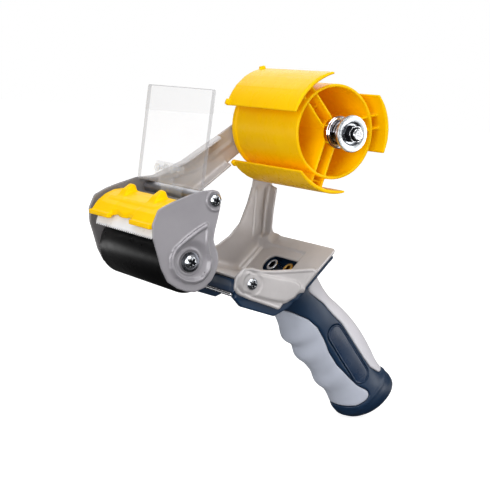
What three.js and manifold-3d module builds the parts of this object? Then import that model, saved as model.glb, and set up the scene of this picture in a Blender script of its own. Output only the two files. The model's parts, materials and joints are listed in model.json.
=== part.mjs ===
// Hand-held tape dispenser for 75 mm wide tape. Units are millimetres.
// Shapes are drawn with the tape hub's axis at the origin: +X to the roller, +Y to the gun's
// left, +Z up as the gun is held upright. At the end the origin moves to the middle of the grip.
import * as THREE from 'three';
import { mergeVertices } from 'three/addons/utils/BufferGeometryUtils.js';
import Module from 'manifold-3d';

const wasm = await Module();
wasm.setup();

// Driving dimensions
const SHEET = 1.5;
const PLATE_IN_LEFT = 39.5;
const PLATE_IN_RIGHT = -41.0;
const FLANGE = 7.5;
const WALL_IN = 33.0;
const HUB_R = 30.5;
const HUB_WALL = 1.9;
const HUB_NEAR = 33.5;
const HUB_FAR = -39.5;
const WING_R = 39.4;
const WING_T = 2.4;
const WING_NEAR = 39.6;
const WING_ANGLES = [46.4, 166.4, 286.4];
const WING_SHIFT = [0, 1.5, 2.2];
const WING_HALF = 29.8;
const ROLLER_X = 106.0;
const ROLLER_Z = -82.0;
const ROLLER_R = 19.5;
const ROLLER_HALF = 38.6;
const ROD_X = 91.4;
const ROD_Z = -45.0;
const PIN_X = 112.5;
const PIN_Z = -50.4;
const PAN_ANGLE = 46.6;
const PAN_X = 13.2;
const PAN_Z = -98.0;
const BLADE_X = 127.9;
const BLADE_Z = -64.2;
const BLADE_TILT = 0.29;
const GUARD_FOOT = [101.2, -39.8];
const GUARD_TOP = 21;
const GUARD_T = 2.4;
const GUARD_HALF = 39;
const GUARD_LEAN = 0.0535;
const RIVET_Z = -30.2;
const SADDLE_X = 55.4;
const SADDLE_Z = -97.3;
const BOLT_Y = -15.6;
const INSERT_Y = 1.6;
const GRIP_X = -37.7;
const GRIP_Z = -146.1;
const GAP = 0.3;

const DEG = Math.PI / 180;
const UC = Math.cos(PAN_ANGLE * DEG);
const US = Math.sin(PAN_ANGLE * DEG);

// A point in the pan's own directions: s up its slope, d below its upper face.
function pan(s, d) {
  return [PAN_X - UC * s - US * d, PAN_Z + US * s - UC * d];
}

// Closed solid from a geometry, with its triangles turned to face out.
function solid(geometry) {
  const raw = geometry.clone();
  raw.deleteAttribute('normal');
  raw.deleteAttribute('uv');
  const g = mergeVertices(raw, 1e-4);
  const p = g.attributes.position.array;
  const idx = g.index.array;
  const tris = [];
  let volume = 0;
  for (let i = 0; i < idx.length; i += 3) {
    const [a, b, c] = [idx[i], idx[i + 1], idx[i + 2]];
    if (a === b || b === c || a === c) continue;
    tris.push(a, b, c);
    const A = new THREE.Vector3().fromArray(p, 3 * a);
    const B = new THREE.Vector3().fromArray(p, 3 * b);
    const C = new THREE.Vector3().fromArray(p, 3 * c);
    volume += A.dot(B.cross(C));
  }
  if (volume < 0) {
    for (let i = 0; i < tris.length; i += 3) {
      const keep = tris[i + 1];
      tris[i + 1] = tris[i + 2];
      tris[i + 2] = keep;
    }
  }
  return new wasm.Manifold(new wasm.Mesh({
    numProp: 3,
    vertProperties: new Float32Array(p),
    triVerts: new Uint32Array(tris),
  }));
}

// Outline in X and Z drawn out along Y.
function prism(points, y0, y1) {
  const shape = new THREE.Shape(points.map(([x, z]) => new THREE.Vector2(x, z)));
  const g = new THREE.ExtrudeGeometry(shape, { depth: y1 - y0, bevelEnabled: false });
  g.rotateX(Math.PI / 2);
  g.translate(0, y1, 0);
  return solid(g);
}

// Round bar along Y.
function bar(r, y0, y1, x = 0, z = 0, n = 32) {
  const g = new THREE.CylinderGeometry(r, r, y1 - y0, n);
  g.translate(x, (y0 + y1) / 2, z);
  return solid(g);
}

// Turned shape about an axis along Y.
function turned(profile, x = 0, z = 0, n = 32) {
  const g = new THREE.LatheGeometry(profile.map(([r, y]) => new THREE.Vector2(r, y)), n);
  g.translate(x, 0, z);
  return solid(g);
}

// Round bar square to the pan.
function panBar(r, s, y, d0, d1, n = 24) {
  const g = new THREE.CylinderGeometry(r, r, d1 - d0, n);
  g.rotateX(Math.PI / 2);
  g.rotateY(Math.atan2(-US, -UC));
  const [x, z] = pan(s, (d0 + d1) / 2);
  g.translate(x, y, z);
  return solid(g);
}

// Strip of sheet of thickness t on the left-hand side of a run of points.
function strip(points, t) {
  const inner = points.map(([x, z], i) => {
    const [ax, az] = points[Math.max(i - 1, 0)];
    const [bx, bz] = points[Math.min(i + 1, points.length - 1)];
    const l = Math.hypot(bx - ax, bz - az);
    return [x - (t * (bz - az)) / l, z + (t * (bx - ax)) / l];
  });
  return [...points, ...inner.reverse()];
}

// Skin over rings of points that run round the direction of travel.
function loft(rings) {
  const n = rings[0].length;
  const last = rings.length - 1;
  const centre = (ring) => {
    const c = new THREE.Vector3();
    ring.forEach((v) => c.add(v));
    return c.divideScalar(n);
  };
  const points = [...rings.flat(), centre(rings[0]), centre(rings[last])];
  const index = [];
  for (let i = 0; i < last; i += 1) {
    for (let j = 0; j < n; j += 1) {
      const k = (j + 1) % n;
      const [a, b, c, d] = [i * n + j, i * n + k, (i + 1) * n + k, (i + 1) * n + j];
      index.push(a, b, c, a, c, d);
    }
  }
  for (let j = 0; j < n; j += 1) {
    const k = (j + 1) % n;
    index.push(points.length - 2, k, j);
    index.push(points.length - 1, last * n + j, last * n + k);
  }
  const g = new THREE.BufferGeometry();
  g.setAttribute('position', new THREE.Float32BufferAttribute(points.flatMap((v) => v.toArray()), 3));
  g.setIndex(index);
  return solid(g);
}

class Coil extends THREE.Curve {
  constructor(radius, y0, y1, turns, x, z) {
    super();
    Object.assign(this, { radius, y0, y1, turns, x, z });
  }

  getPoint(t, out = new THREE.Vector3()) {
    const a = 2 * Math.PI * this.turns * t;
    const y = this.y0 + (this.y1 - this.y0) * t;
    return out.set(this.x + this.radius * Math.cos(a), y, this.z + this.radius * Math.sin(a));
  }
}

// Coil spring about an axis along Y.
function spring(radius, wire, y0, y1, turns, x = 0, z = 0, perTurn = 14) {
  const section = new THREE.Shape();
  for (let i = 0; i < 6; i += 1) {
    const a = (i * Math.PI) / 3;
    if (i === 0) section.moveTo(wire * Math.cos(a), wire * Math.sin(a));
    else section.lineTo(wire * Math.cos(a), wire * Math.sin(a));
  }
  return solid(new THREE.ExtrudeGeometry(section, {
    steps: Math.round(perTurn * turns),
    extrudePath: new Coil(radius, y0 + wire, y1 - wire, turns, x, z),
  }));
}

// Cross-head screw along Y: head beyond yHead on the side of dir, shank going the other way.
function screw(headR, headT, shankR, length, yHead, dir, x, z) {
  const profile = [
    [0, -length],
    [shankR, -length],
    [shankR, 0],
    [headR, 0],
    [headR, headT * 0.45],
    [headR * 0.6, headT],
    [0, headT],
  ].map(([r, y]) => [r, yHead + dir * y]);
  const slotW = headR * 0.16;
  const slotL = headR * 0.55;
  const a = yHead + dir * headT * 0.45;
  const b = yHead + dir * headT * 1.2;
  const cross = (w, l) => prism(
    [[x - w, z - l], [x + w, z - l], [x + w, z + l], [x - w, z + l]],
    Math.min(a, b),
    Math.max(a, b),
  );
  return turned(profile, x, z, 16).subtract(cross(slotW, slotL)).subtract(cross(slotL, slotW));
}

// --- Side frame: side plate, edge flanges, sloping pan, floor and left wall in one piece ---
const headOutline = [
  [130, -51.4], [133.2, -60], [132.1, -68.6], [128.6, -77.1], [125, -86.4], [120, -94.3],
  [112.9, -98.2], [107.1, -100], [100.7, -100.7],
];
const wallOutline = [
  [3.6, -87.8], [23, -88.5], [38.7, -89], [49.5, -88.6], [56.5, -86.9], [61.7, -87.2], [65.8, -90.3],
  [68, -94], [68.3, -100.6], [65.3, -103.9], [56.7, -107.3], [44.2, -111], [32.6, -114.6],
  [30.3, -110.9], [27.2, -110.1], [21.2, -107], [16.2, -101.9], [14.6, -99.4],
];
const hubSeat = [[-17, -5], [-16, 5], [-11, 13], [-2, 17], [7, 15.5], [13, 10]];
const barTop = [[29.4, -1.3], [67.5, -27.5], [88.8, -38.0], [101, -39.4], [115, -44.2], [122, -47]];
const armBack = [[-5.2, -74], [-5.4, -59], [-6.8, -42], [-10.5, -28]];
const sideOutline = [
  ...headOutline, [84, -101.5], [68, -104], [56, -107.5], [46, -110], [41, -112], [34, -114.5],
  [28.8, -114.5], ...armBack, ...hubSeat, ...barTop,
];
const barUnder = [[60, -50.5], [49.4, -42.5], [34, -30.2]];
const armFront = [[9.6, -43], [12.5, -55], [17.5, -68.8], [25, -77.5], [34.4, -84], [47, -86], [59, -80]];
const windowOutline = [
  ...barUnder, [21.9, -20.6], [12, -19], [8.2, -30], ...armFront, [64.5, -70], [64.5, -57],
];

function sideFrame() {
  const yIn = PLATE_IN_RIGHT;
  const yOut = yIn - SHEET;
  const yEdge = yIn + FLANGE;
  let body = prism(sideOutline, yOut, yIn);
  body = body.subtract(prism(windowOutline, yOut - 1, yIn + 1));
  const edges = [
    strip([[84, -36.2], [67.5, -27.5], [41.6, -9.7]], SHEET),
    strip(barUnder.slice().reverse(), SHEET),
    strip([[-5.2, -76], [-5.4, -59], [-6.6, -44]].reverse(), SHEET),
  ];
  for (const edge of edges) {
    body = body.add(prism(edge, yIn - 0.5, yEdge));
  }
  const floor = [[66.5, -93], [16.6, -101.8], [16.6, -103.4], [66.5, -94.6]];
  const slope = [pan(-6, 0), pan(31.3, 0), pan(31.3, 1.6), pan(-6, 1.6)];
  const fillet = [pan(-2, 0.8), pan(31.3, 0.8), pan(31.3, -4), pan(24, -7), pan(8, -7), pan(-2, -3)];
  const yWall = WALL_IN + 1.6;
  body = body.add(prism(floor, yIn - 0.5, yWall - 0.4));
  body = body.add(prism(slope, yIn - 0.5, yWall - 0.4));
  body = body.add(prism(wallOutline, WALL_IN, yWall));
  // Round the pan's free upper corner, then open its window.
  const corner = prism([pan(27, -2), pan(34, -2), pan(34, 4), pan(27, 4)], 30, 40);
  body = body.subtract(corner.subtract(panBar(4.4, 27, 30, -2, 4)));
  body = body.subtract(prism([pan(2, -3), pan(15.4, -3), pan(15.4, 5), pan(2, 5)], -16.7, 8));
  body = body.subtract(panBar(6.7, 8.7, -16.7, -3, 5));
  // Gusset that fairs the pan into the side plate.
  body = body.add(prism(fillet, yIn - 0.5, yIn + 1.6));
  const holes = [
    [4.3, 0, 0], [2.4, ROLLER_X, ROLLER_Z], [2.0, ROD_X, ROD_Z],
  ];
  for (const [r, x, z] of holes) {
    body = body.subtract(bar(r, yOut - 1, yIn + 1, x, z, 24));
  }
  body = body.subtract(bar(1.85, yOut + 0.5, yIn + 1, PIN_X, PIN_Z, 20));
  body = body.subtract(bar(2.4, -50, -26, SADDLE_X, SADDLE_Z, 24));
  return body.subtract(bar(2.4, 18, 40, SADDLE_X, SADDLE_Z, 24));
}

// --- Left head plate ---
const leftPlateOutline = [
  [127.1, -49.6], ...headOutline.slice(0, 9), [94.3, -98.2], [89.3, -93.6], [86.4, -87.9],
  [85.4, -82.1], [86.1, -77.1], [88.6, -72.5], [90.1, -68.6], [89.6, -62.9], [88.2, -55.7],
  [87.1, -48.6], [87.5, -42.1], [89.3, -39.3], [93.6, -38.6], [100, -39.4], [107.1, -41.1],
  [114.3, -43.9], [121.4, -46.8],
];

function headPlate() {
  let body = prism(leftPlateOutline, PLATE_IN_LEFT, PLATE_IN_LEFT + SHEET);
  for (const [r, x, z] of [[2.4, ROLLER_X, ROLLER_Z], [2.0, ROD_X, ROD_Z]]) {
    body = body.subtract(bar(r, 38, 43, x, z, 24));
  }
  return body.subtract(bar(1.85, 38, PLATE_IN_LEFT + 1, PIN_X, PIN_Z, 20));
}

// --- Tape hub ---
function arcBand(r0, r1, mid, half, y0, y1, n = 8) {
  const outer = [];
  const inner = [];
  for (let i = 0; i <= n; i += 1) {
    const a = (mid - half + (2 * half * i) / n) * DEG;
    outer.push([r1 * Math.cos(a), r1 * Math.sin(a)]);
    inner.push([r0 * Math.cos(a), r0 * Math.sin(a)]);
  }
  return prism([...outer, ...inner.reverse()], y0, y1);
}

function rib(angle, offset, r0, r1, t, y0, y1) {
  const [c, s] = [Math.cos(angle * DEG), Math.sin(angle * DEG)];
  const at = (r, w) => [r * c - w * s, r * s + w * c];
  const [a, b] = [offset - t / 2, offset + t / 2];
  return prism([at(r0, a), at(r1, a), at(r1, b), at(r0, b)], y0, y1);
}

function hubDrum() {
  const web = 1.6;
  let body = turned([
    [4.25, HUB_FAR], [HUB_R + 1, HUB_FAR], [HUB_R + 1, HUB_FAR + 4], [HUB_R, HUB_FAR + 4],
    [HUB_R, HUB_NEAR], [HUB_R - HUB_WALL, HUB_NEAR], [HUB_R - HUB_WALL, HUB_FAR + web],
    [7.2, HUB_FAR + web], [7.2, HUB_NEAR], [4.25, HUB_NEAR],
    [4.25, HUB_FAR],
  ], 0, 0, 40);
  for (const mid of WING_ANGLES) {
    const leaf = mid + WING_SHIFT[WING_ANGLES.indexOf(mid)];
    body = body.add(arcBand(WING_R - WING_T, WING_R, leaf, WING_HALF, HUB_FAR, WING_NEAR));
    for (const side of [-1, 1]) {
      body = body.add(rib(mid, side * 4.2, 5, WING_R - 1, 1.5, HUB_FAR, HUB_NEAR - 1.5));
      const corner = leaf + side * (WING_HALF - 3);
      const lip = arcBand(WING_R - 0.6, WING_R + 1.4, corner, 3, HUB_FAR, HUB_FAR + 2.6, 3);
      body = body.add(lip);
    }
  }
  return body.subtract(bar(4.25, HUB_FAR - 1, HUB_NEAR + 1));
}

// --- Roller ---
function rollerSleeve() {
  return turned([
    [16.3, -ROLLER_HALF], [18.7, -ROLLER_HALF], [ROLLER_R, -ROLLER_HALF + 0.8],
    [ROLLER_R, ROLLER_HALF - 0.8], [18.7, ROLLER_HALF], [16.3, ROLLER_HALF], [16.3, -ROLLER_HALF],
  ], ROLLER_X, ROLLER_Z, 36);
}

function rollerCore() {
  const h = ROLLER_HALF - 0.4;
  return turned([
    [4.3, -h], [7.0, -h], [7.0, -2], [13.8, -2], [13.8, -h], [16.0, -h], [16.0, h], [13.8, h],
    [13.8, 2], [7.0, 2], [7.0, h], [4.3, h], [4.3, -h],
  ], ROLLER_X, ROLLER_Z, 24);
}

// Plain cross bar with a blind hole in each end for its screws.
function crossBar(r, holeR, x, z, n = 24) {
  const [y0, y1] = [PLATE_IN_RIGHT + GAP, PLATE_IN_LEFT - GAP];
  return bar(r, y0, y1, x, z, n)
    .subtract(bar(holeR, y0 - 1, y0 + 12, x, z, 16))
    .subtract(bar(holeR, y1 - 12, y1 + 1, x, z, 16));
}

// --- Blade, its holder and the cover over it ---
function bladeHolder() {
  const section = [
    [114.5, -53.6], [125.9, -60.2], [128.2, -67.4], [126.7, -67.9], [124.7, -61.4], [113.7, -55],
  ];
  let body = prism(section, PLATE_IN_RIGHT + GAP, PLATE_IN_LEFT - GAP);
  for (const y of [-24, 24]) {
    body = body.subtract(bladeBar(1.4, y, -4, 0.32));
  }
  return body;
}

// Round bar square to the blade, at along-blade height centre; d0 and d1 run forwards.
function bladeBar(r, y, d0, d1) {
  const g = new THREE.CylinderGeometry(r, r, d1 - d0, 16);
  g.rotateZ(-Math.PI / 2);
  g.translate((d0 + d1) / 2, 0, 0);
  g.rotateY(-BLADE_TILT);
  g.translate(BLADE_X, y, BLADE_Z);
  return solid(g);
}

function blade() {
  const teeth = 30;
  const half = 36;
  const points = [[-half, 5.2]];
  for (let i = 0; i < teeth; i += 1) {
    const y = -half + (2 * half * i) / teeth;
    points.push([y, -3.8], [y + half / teeth, -5.6]);
  }
  points.push([half, -3.8], [half, 5.2]);
  const shape = new THREE.Shape(points.map(([y, v]) => new THREE.Vector2(y, v)));
  const g = new THREE.ExtrudeGeometry(shape, { depth: 0.7, bevelEnabled: false });
  const [across, upward, forward] = [[0, 1, 0], [0, 0, 1], [1, 0, 0]].map((v) => new THREE.Vector3(...v));
  g.applyMatrix4(new THREE.Matrix4().makeBasis(across, upward, forward));
  g.translate(0.35, 0, 0);
  g.rotateY(-BLADE_TILT);
  g.translate(BLADE_X, 0, BLADE_Z);
  return solid(g);
}

// Grub screw that presses the blade forward from inside its holder.
function bladeScrew(y) {
  return bladeBar(1.1, y, -2.6, 0.2).add(bladeBar(2.3, y, -3.6, -2.5));
}

const coverTop = [
  [106.5, -47.6], [112, -46.4], [118, -47.4], [124, -50.4], [129, -54.6], [132.2, -59.2], [132.2, -61.5],
];
const coverUnder = [
  [130, -61.5], [129.6, -59.4], [127.3, -56.2], [122.8, -52.5], [117.4, -49.6], [112, -48.6], [106.5, -49.8],
];

function bladeCover() {
  const half = 38.6;
  let body = prism([...coverTop, ...coverUnder], -half, half);
  body = body.subtract(prism([[130.3, -55], [140, -55], [140, -66], [130.3, -66]], -14, 14));
  const lip = [
    [130.6, -60.2], [134.1, -60.2], [134.6, -60.8], [134.6, -62.8], [134, -63.3], [131.2, -63.3],
  ];
  const ear = [[113.2, -48], [114.4, -42.8], [116.4, -42.2], [121, -46.4], [124.6, -52.4], [119, -49.6]];
  const foot = [[112.8, -48], [114.2, -45.6], [117.4, -45.2], [122, -48.6], [125, -53], [119, -49.4]];
  for (const side of [-1, 1]) {
    const [lipA, lipB] = [side * 14, side * half].sort((a, b) => a - b);
    body = body.add(prism(lip, lipA, lipB));
    body = body.add(prism(ear, side * 18.9 - 2.6, side * 18.9 + 2.6));
    body = body.add(prism(foot, side * 18.9 - 4.2, side * 18.9 + 4.2));
    body = body.add(bar(3.4, side * 32 - 5, side * 32 + 5, PIN_X, PIN_Z, 20));
    body = body.add(bar(3.4, side * 13 - 3, side * 13 + 3, PIN_X, PIN_Z, 20));
  }
  body = body.subtract(bar(3.3, -9, 9, PIN_X, PIN_Z, 20));
  return body.subtract(bar(1.85, -half - 1, half + 1, PIN_X, PIN_Z, 20));
}

// --- Clear guard on the cross rod ---
// Round bar along X at the guard's rivets.
function rivetBar(r, y, x0, x1) {
  const g = new THREE.CylinderGeometry(r, r, x1 - x0, 16);
  g.rotateZ(Math.PI / 2);
  g.translate((x0 + x1) / 2, y, RIVET_Z);
  return solid(g);
}

function guardPanel() {
  const top = GUARD_FOOT[0] - GUARD_LEAN * (GUARD_TOP - GUARD_FOOT[1]);
  const section = [
    GUARD_FOOT, [top, GUARD_TOP], [top - GUARD_T, GUARD_TOP - 0.1],
    [GUARD_FOOT[0] - GUARD_T, GUARD_FOOT[1] - 0.1],
  ];
  let body = prism(section, -GUARD_HALF, GUARD_HALF);
  for (const y of [-9.5, 9.5]) {
    body = body.subtract(rivetBar(1.6, y, 90, 110));
  }
  return body;
}

function guardBlock() {
  const at = (out, z) => [GUARD_FOOT[0] - GUARD_LEAN * (z - GUARD_FOOT[1]) + out, z];
  const leaf = [at(0.3, -34.2), at(0.3, -26.2), at(2.3, -26.2), at(2.3, -34.2)];
  const stem = [
    at(0.3, -41), at(0.3, -30), at(2.3, -30), at(2.3, -41.6), [101, -44.6], [93, -49.6], [90, -48],
    [94, -40.6],
  ];
  let body = prism(leaf, -13.2, 13.2).add(prism(stem, -8, 8));
  body = body.add(bar(5.6, -8, 8, ROD_X, ROD_Z, 24));
  for (const y of [-9.5, 9.5]) {
    body = body.subtract(rivetBar(1.6, y, 98, 110));
  }
  return body.subtract(bar(3.9, -9, 9, ROD_X, ROD_Z, 24));
}

// Rivet that holds the panel on its hinge block.
function guardRivet(y) {
  return rivetBar(1.25, y, 97.2, 103.6)
    .add(rivetBar(2.4, y, 103.4, 104.6))
    .add(rivetBar(2.4, y, 96.9, 98.0));
}

// --- Handle ---
// Each row: distance below the pan, front edge, back edge, half width.
const handleRows = [
  [3.2, -24, 22, 15.3], [22, -17, 21, 14.6], [32, -19.4, 19.5, 14.6], [40.5, -23.2, 19.3, 15],
  [50, -21.3, 20.6, 15], [58, -24.2, 21.6, 15.2], [67.5, -22.6, 22.2, 15.2],
  [77.5, -22.8, 22, 15.2], [85, -25, 21.3, 15.4], [96, -23.5, 19.4, 15.4], [104, -24.8, 17.7, 15.6],
  [112, -27.2, 17.2, 16], [119, -25.9, 18.3, 16], [125, -21.5, 18.7, 15.2], [129.6, -14.5, 17.2, 13.4],
  [132.2, -8, 13.8, 10.5], [133.6, -1, 10, 6.5],
];

function handleLoft(inset, n = 24) {
  const rings = handleRows.map(([d, front, back, half]) => {
    const mid = (front + back) / 2;
    const reach = Math.max((back - front) / 2 - inset, 1.2);
    const wide = Math.max(half - inset, 1.2);
    const deep = d > 100 ? d - inset : d;
    const ring = [];
    for (let j = 0; j < n; j += 1) {
      const a = (2 * Math.PI * j) / n;
      const [c, s] = [Math.cos(a), Math.sin(a)];
      const u = mid + reach * Math.sign(c) * Math.abs(c) ** 0.84;
      const [x, z] = pan(u, deep);
      ring.push(new THREE.Vector3(x, wide * Math.sign(s) * Math.abs(s) ** 0.84, z));
    }
    return ring;
  });
  return loft(rings);
}

const SHELL_SCREWS = [[-19, -125], [-74, -179]];
const headBlock = [
  [66.9, -95.0], pan(-6.3, 1.9), pan(27.3, 1.9), pan(27.3, 4.6), pan(-11, 4.6), [30, -108.2],
  [64, -106.6], [67.6, -105.6], [67.8, -103.2], [67.2, -100],
];
const cheek = [
  [66.9, -96], pan(-6.3, 1.9), pan(10, 1.9), pan(10, 4), pan(-23, 2.9), [30, -119.8],
  [60.4, -112.3], [67.6, -105.3], [67.2, -100],
];
const gripZone = [
  [20, -123], [13.1, -119.4], [4.7, -121.4], [-7.1, -126], [-15.1, -131.8], [-21.3, -139.8],
  [-26.5, -148.6], [-35.2, -158.6], [-44.8, -166.8], [-54.5, -174.2], [-62.8, -178], [-64.9, -181.4],
  [-62.6, -185.1], [-56.3, -189.1], [-45.4, -190.5], [-34.2, -189], [-20, -200], [60, -160], [60, -128],
];
const backZone = [
  [-4.3, -102.8], [-4.5, -107], [-10.3, -110.6], [-19.3, -115.9], [-27.7, -123.6], [-36.2, -130],
  [-46.6, -142.2], [-57.5, -154.8], [-65.1, -162.3], [-74.8, -166.9], [-79.7, -164.9],
  [-100, -150], [-40, -90], [-19, -88],
];
const badgeZone = (r) => {
  const ends = [[-30.5, -136.8], [-55.3, -166]];
  const a0 = Math.atan2(ends[1][1] - ends[0][1], ends[1][0] - ends[0][0]);
  const out = [];
  for (const [k, [x, z]] of ends.entries()) {
    for (let i = 0; i <= 6; i += 1) {
      const a = a0 + (k === 0 ? 0.5 : -0.5) * Math.PI + (i * Math.PI) / 6;
      out.push([x + r * Math.cos(a), z + r * Math.sin(a)]);
    }
  }
  return out;
};

// The same outline a little larger, by moving each point away from its neighbours' line.
function grown(points, t) {
  const n = points.length;
  let area = 0;
  points.forEach(([x, z], i) => {
    const [u, v] = points[(i + 1) % n];
    area += x * v - u * z;
  });
  const sign = Math.sign(area);
  return points.map(([x, z], i) => {
    const [ax, az] = points[(i + n - 1) % n];
    const [bx, bz] = points[(i + 1) % n];
    const l = Math.hypot(bx - ax, bz - az);
    return [x + (sign * t * (bz - az)) / l, z - (sign * t * (bx - ax)) / l];
  });
}

const skin = handleLoft(0);
const under = handleLoft(2.6);
const deeper = handleLoft(2.9);
const gripCut = prism(gripZone, -30, 30);
const backCut = prism(backZone, -30, 30);
const collarCut = prism([pan(-60, -40), pan(60, -40), pan(60, 6.7), pan(-60, 6.7)], -60, 60);
const fingerGrip = skin.subtract(under).intersect(gripCut).subtract(collarCut);
const backGrip = skin.subtract(under).intersect(backCut).subtract(collarCut);

function handleBody() {
  let body = skin.subtract(prism(grown(gripZone, GAP), -30, 30));
  body = body.subtract(prism(grown(backZone, GAP), -30, 30)).add(deeper);
  body = body.add(prism(headBlock, PLATE_IN_RIGHT + GAP, WALL_IN - GAP));
  body = body.add(prism(cheek, WALL_IN - GAP - 4, WALL_IN - GAP));
  body = body.add(prism(cheek, PLATE_IN_RIGHT + GAP, PLATE_IN_RIGHT + GAP + 4));
  const tub = [pan(-1.2, 1.9), pan(18.6, 1.9), pan(18.6, 11), pan(-1.2, 11)];
  body = body.add(prism(tub, -26, -12));
  const pocket = [pan(0.4, 1), pan(17, 1), pan(17, 9.5), pan(0.4, 9.5)];
  body = body.subtract(prism(pocket, -24.4, 9.4));
  body = body.subtract(panBar(2.7, 8.7, BOLT_Y, 8, 12));
  body = body.subtract(panBar(4.6, 9.2, INSERT_Y, 8, 18));
  body = body.subtract(bar(2.2, 16, 40, SADDLE_X, SADDLE_Z, 20));
  body = body.subtract(bar(2.2, -50, -24, SADDLE_X, SADDLE_Z, 20));
  body = body.subtract(bar(1.6, -50, 40, 67.3, -104.6, 16));
  const badge = prism(badgeZone(6.8), -30, 30);
  body = body.subtract(badge.subtract(handleLoft(1.2)));
  for (const [x, z] of SHELL_SCREWS) {
    body = body.subtract(bar(1.5, -13, 10, x, z, 16)).subtract(bar(3.1, -30, -11.4, x, z, 20));
  }
  return body;
}

const handleAll = handleBody();
const leftHalf = prism([[-150, -260], [150, -260], [150, 20], [-150, 20]], 0.15, 60);
const rightHalf = prism([[-150, -260], [150, -260], [150, 20], [-150, 20]], -60, -0.15);

function badgePlate(y0, y1) {
  return handleLoft(-0.5).subtract(handleLoft(0.9)).intersect(prism(badgeZone(6.5), y0, y1));
}

function handleBolt() {
  const socket = panBar(2.3, 8.7, BOLT_Y, 0, 6, 6);
  const head = panBar(4.6, 8.7, BOLT_Y, 2.2, 9.2, 24).subtract(socket);
  return head.add(panBar(2.4, 8.7, BOLT_Y, 8.6, 10.8, 20));
}

function brassInsert() {
  return panBar(4.3, 9.2, INSERT_Y, 2.4, 17.5, 24).subtract(panBar(2, 9.2, INSERT_Y, 1, 30, 16));
}

// Washer or tube along Y.
function ringBar(r, hole, y0, y1, x = 0, z = 0, n = 24) {
  return bar(r, y0, y1, x, z, n).subtract(bar(hole, y0 - 1, y1 + 1, x, z, n));
}

function cupWasher() {
  return turned([
    [4.3, 33.9], [9.6, 33.9], [10.5, 35], [10.5, 38.3], [9.6, 38.3], [9.2, 35.1], [4.3, 35.1], [4.3, 33.9],
  ], 0, 0, 24);
}

// Dished disc that the drag nut presses on the spring.
function tensionWasher() {
  return turned([
    [4.3, 48], [9, 48], [11.3, 48.8], [11.75, 49.4], [11.75, 51], [11.4, 51.4], [7.6, 51.4],
    [6.5, 49.3], [4.3, 49.3], [4.3, 48],
  ], 0, 0, 32);
}

function tensionNut() {
  return bar(5.9, 49.6, 55, 0, 0, 6).subtract(bar(4.25, 48, 60, 0, 0, 24));
}

function hubBolt() {
  return bar(3.95, -42.6, 57.4, 0, 0, 24).add(bar(6.6, -48.4, -42.8, 0, 0, 6))
    .add(bar(3.95, -43.2, -42.4, 0, 0, 24));
}

const parts = new THREE.Group();
parts.name = 'tape_gun';

function put(name, body, color, metalness = 0, roughness = 0.5, opacity = 1) {
  const mesh = body.getMesh();
  const g = new THREE.BufferGeometry();
  const pos = [];
  for (let i = 0; i < mesh.vertProperties.length; i += mesh.numProp) {
    pos.push(mesh.vertProperties[i], mesh.vertProperties[i + 1], mesh.vertProperties[i + 2]);
  }
  g.setAttribute('position', new THREE.Float32BufferAttribute(pos, 3));
  g.setIndex(Array.from(mesh.triVerts));
  g.translate(-GRIP_X, 0, -GRIP_Z);
  const material = new THREE.MeshStandardMaterial({
    color, metalness, roughness, opacity, transparent: opacity < 1,
  });
  const node = new THREE.Mesh(g, material);
  node.name = name;
  parts.add(node);
}

const PAINT = 0xb9b2ac;
const PLATE = 0x969398;
const YELLOW = 0xfacd0a;
const NAVY = 0x203042;
const GREY = 0xa5a8b2;
const PALE = 0xc8c6ca;
const ZINC = 0xd0d2d6;
const STEEL = 0xb8bcc2;

put('side_frame', sideFrame(), PAINT);
put('head_plate', headPlate(), PLATE);
put('hub_drum', hubDrum(), YELLOW);
put('hub_bolt', hubBolt(), STEEL, 1, 0.3);
put('hub_spacer', ringBar(9, 4.3, PLATE_IN_RIGHT + 0.2, HUB_FAR - 0.2), ZINC, 1, 0.3);
put('friction_cup', cupWasher(), ZINC, 1, 0.25);
put('pressure_washer', ringBar(8.8, 4.3, 36.2, 38.4), ZINC, 1, 0.3);
put('spring_seat', ringBar(10.2, 4.3, 38.7, 40), ZINC, 1, 0.25);
put('tension_spring', spring(7.1, 0.85, 40.3, 47.7, 2.5, 0, 0, 10), STEEL, 1, 0.3);
put('tension_washer', tensionWasher(), ZINC, 1, 0.35);
put('tension_nut', tensionNut(), STEEL, 1, 0.3);
put('roller_sleeve', rollerSleeve(), 0x101012);
put('roller_core', rollerCore(), 0x1c1c1e);
put('roller_axle', crossBar(4.0, 2.4, ROLLER_X, ROLLER_Z), STEEL, 1, 0.3);
put('axle_washer_left', ringBar(6.2, 2.6, 41.2, 42.0, ROLLER_X, ROLLER_Z, 28), ZINC, 1, 0.3);
put('axle_screw_left', screw(4.8, 2.6, 2.0, 12, 42.2, 1, ROLLER_X, ROLLER_Z), STEEL, 1, 0.25);
put('axle_screw_right', screw(4.8, 2.6, 2.0, 11, -42.8, -1, ROLLER_X, ROLLER_Z), STEEL, 1, 0.25);
put('cross_rod', crossBar(3.6, 1.9, ROD_X, ROD_Z), STEEL, 1, 0.3);
put('rod_screw_left', screw(4.3, 2.4, 1.55, 10, 41.3, 1, ROD_X, ROD_Z), STEEL, 1, 0.25);
put('rod_screw_right', screw(4.3, 2.4, 1.55, 10, -42.8, -1, ROD_X, ROD_Z), STEEL, 1, 0.25);
put('guard_panel', guardPanel(), 0xf2f6fa, 0, 0.1, 0.35);
put('guard_block', guardBlock(), 0xe6ecf2, 0, 0.15, 0.5);
put('guard_rivet_1', guardRivet(-9.5), 0xe6ecf2, 0, 0.2, 0.6);
put('guard_rivet_2', guardRivet(9.5), 0xe6ecf2, 0, 0.2, 0.6);
put('blade_cover', bladeCover(), YELLOW);
put('cover_pin', bar(1.5, -41.8, 40.3, PIN_X, PIN_Z, 20), STEEL, 1, 0.3);
put('cover_spring', spring(2.5, 0.4, -8, 8, 5, PIN_X, PIN_Z, 8), STEEL, 1, 0.3);
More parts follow.
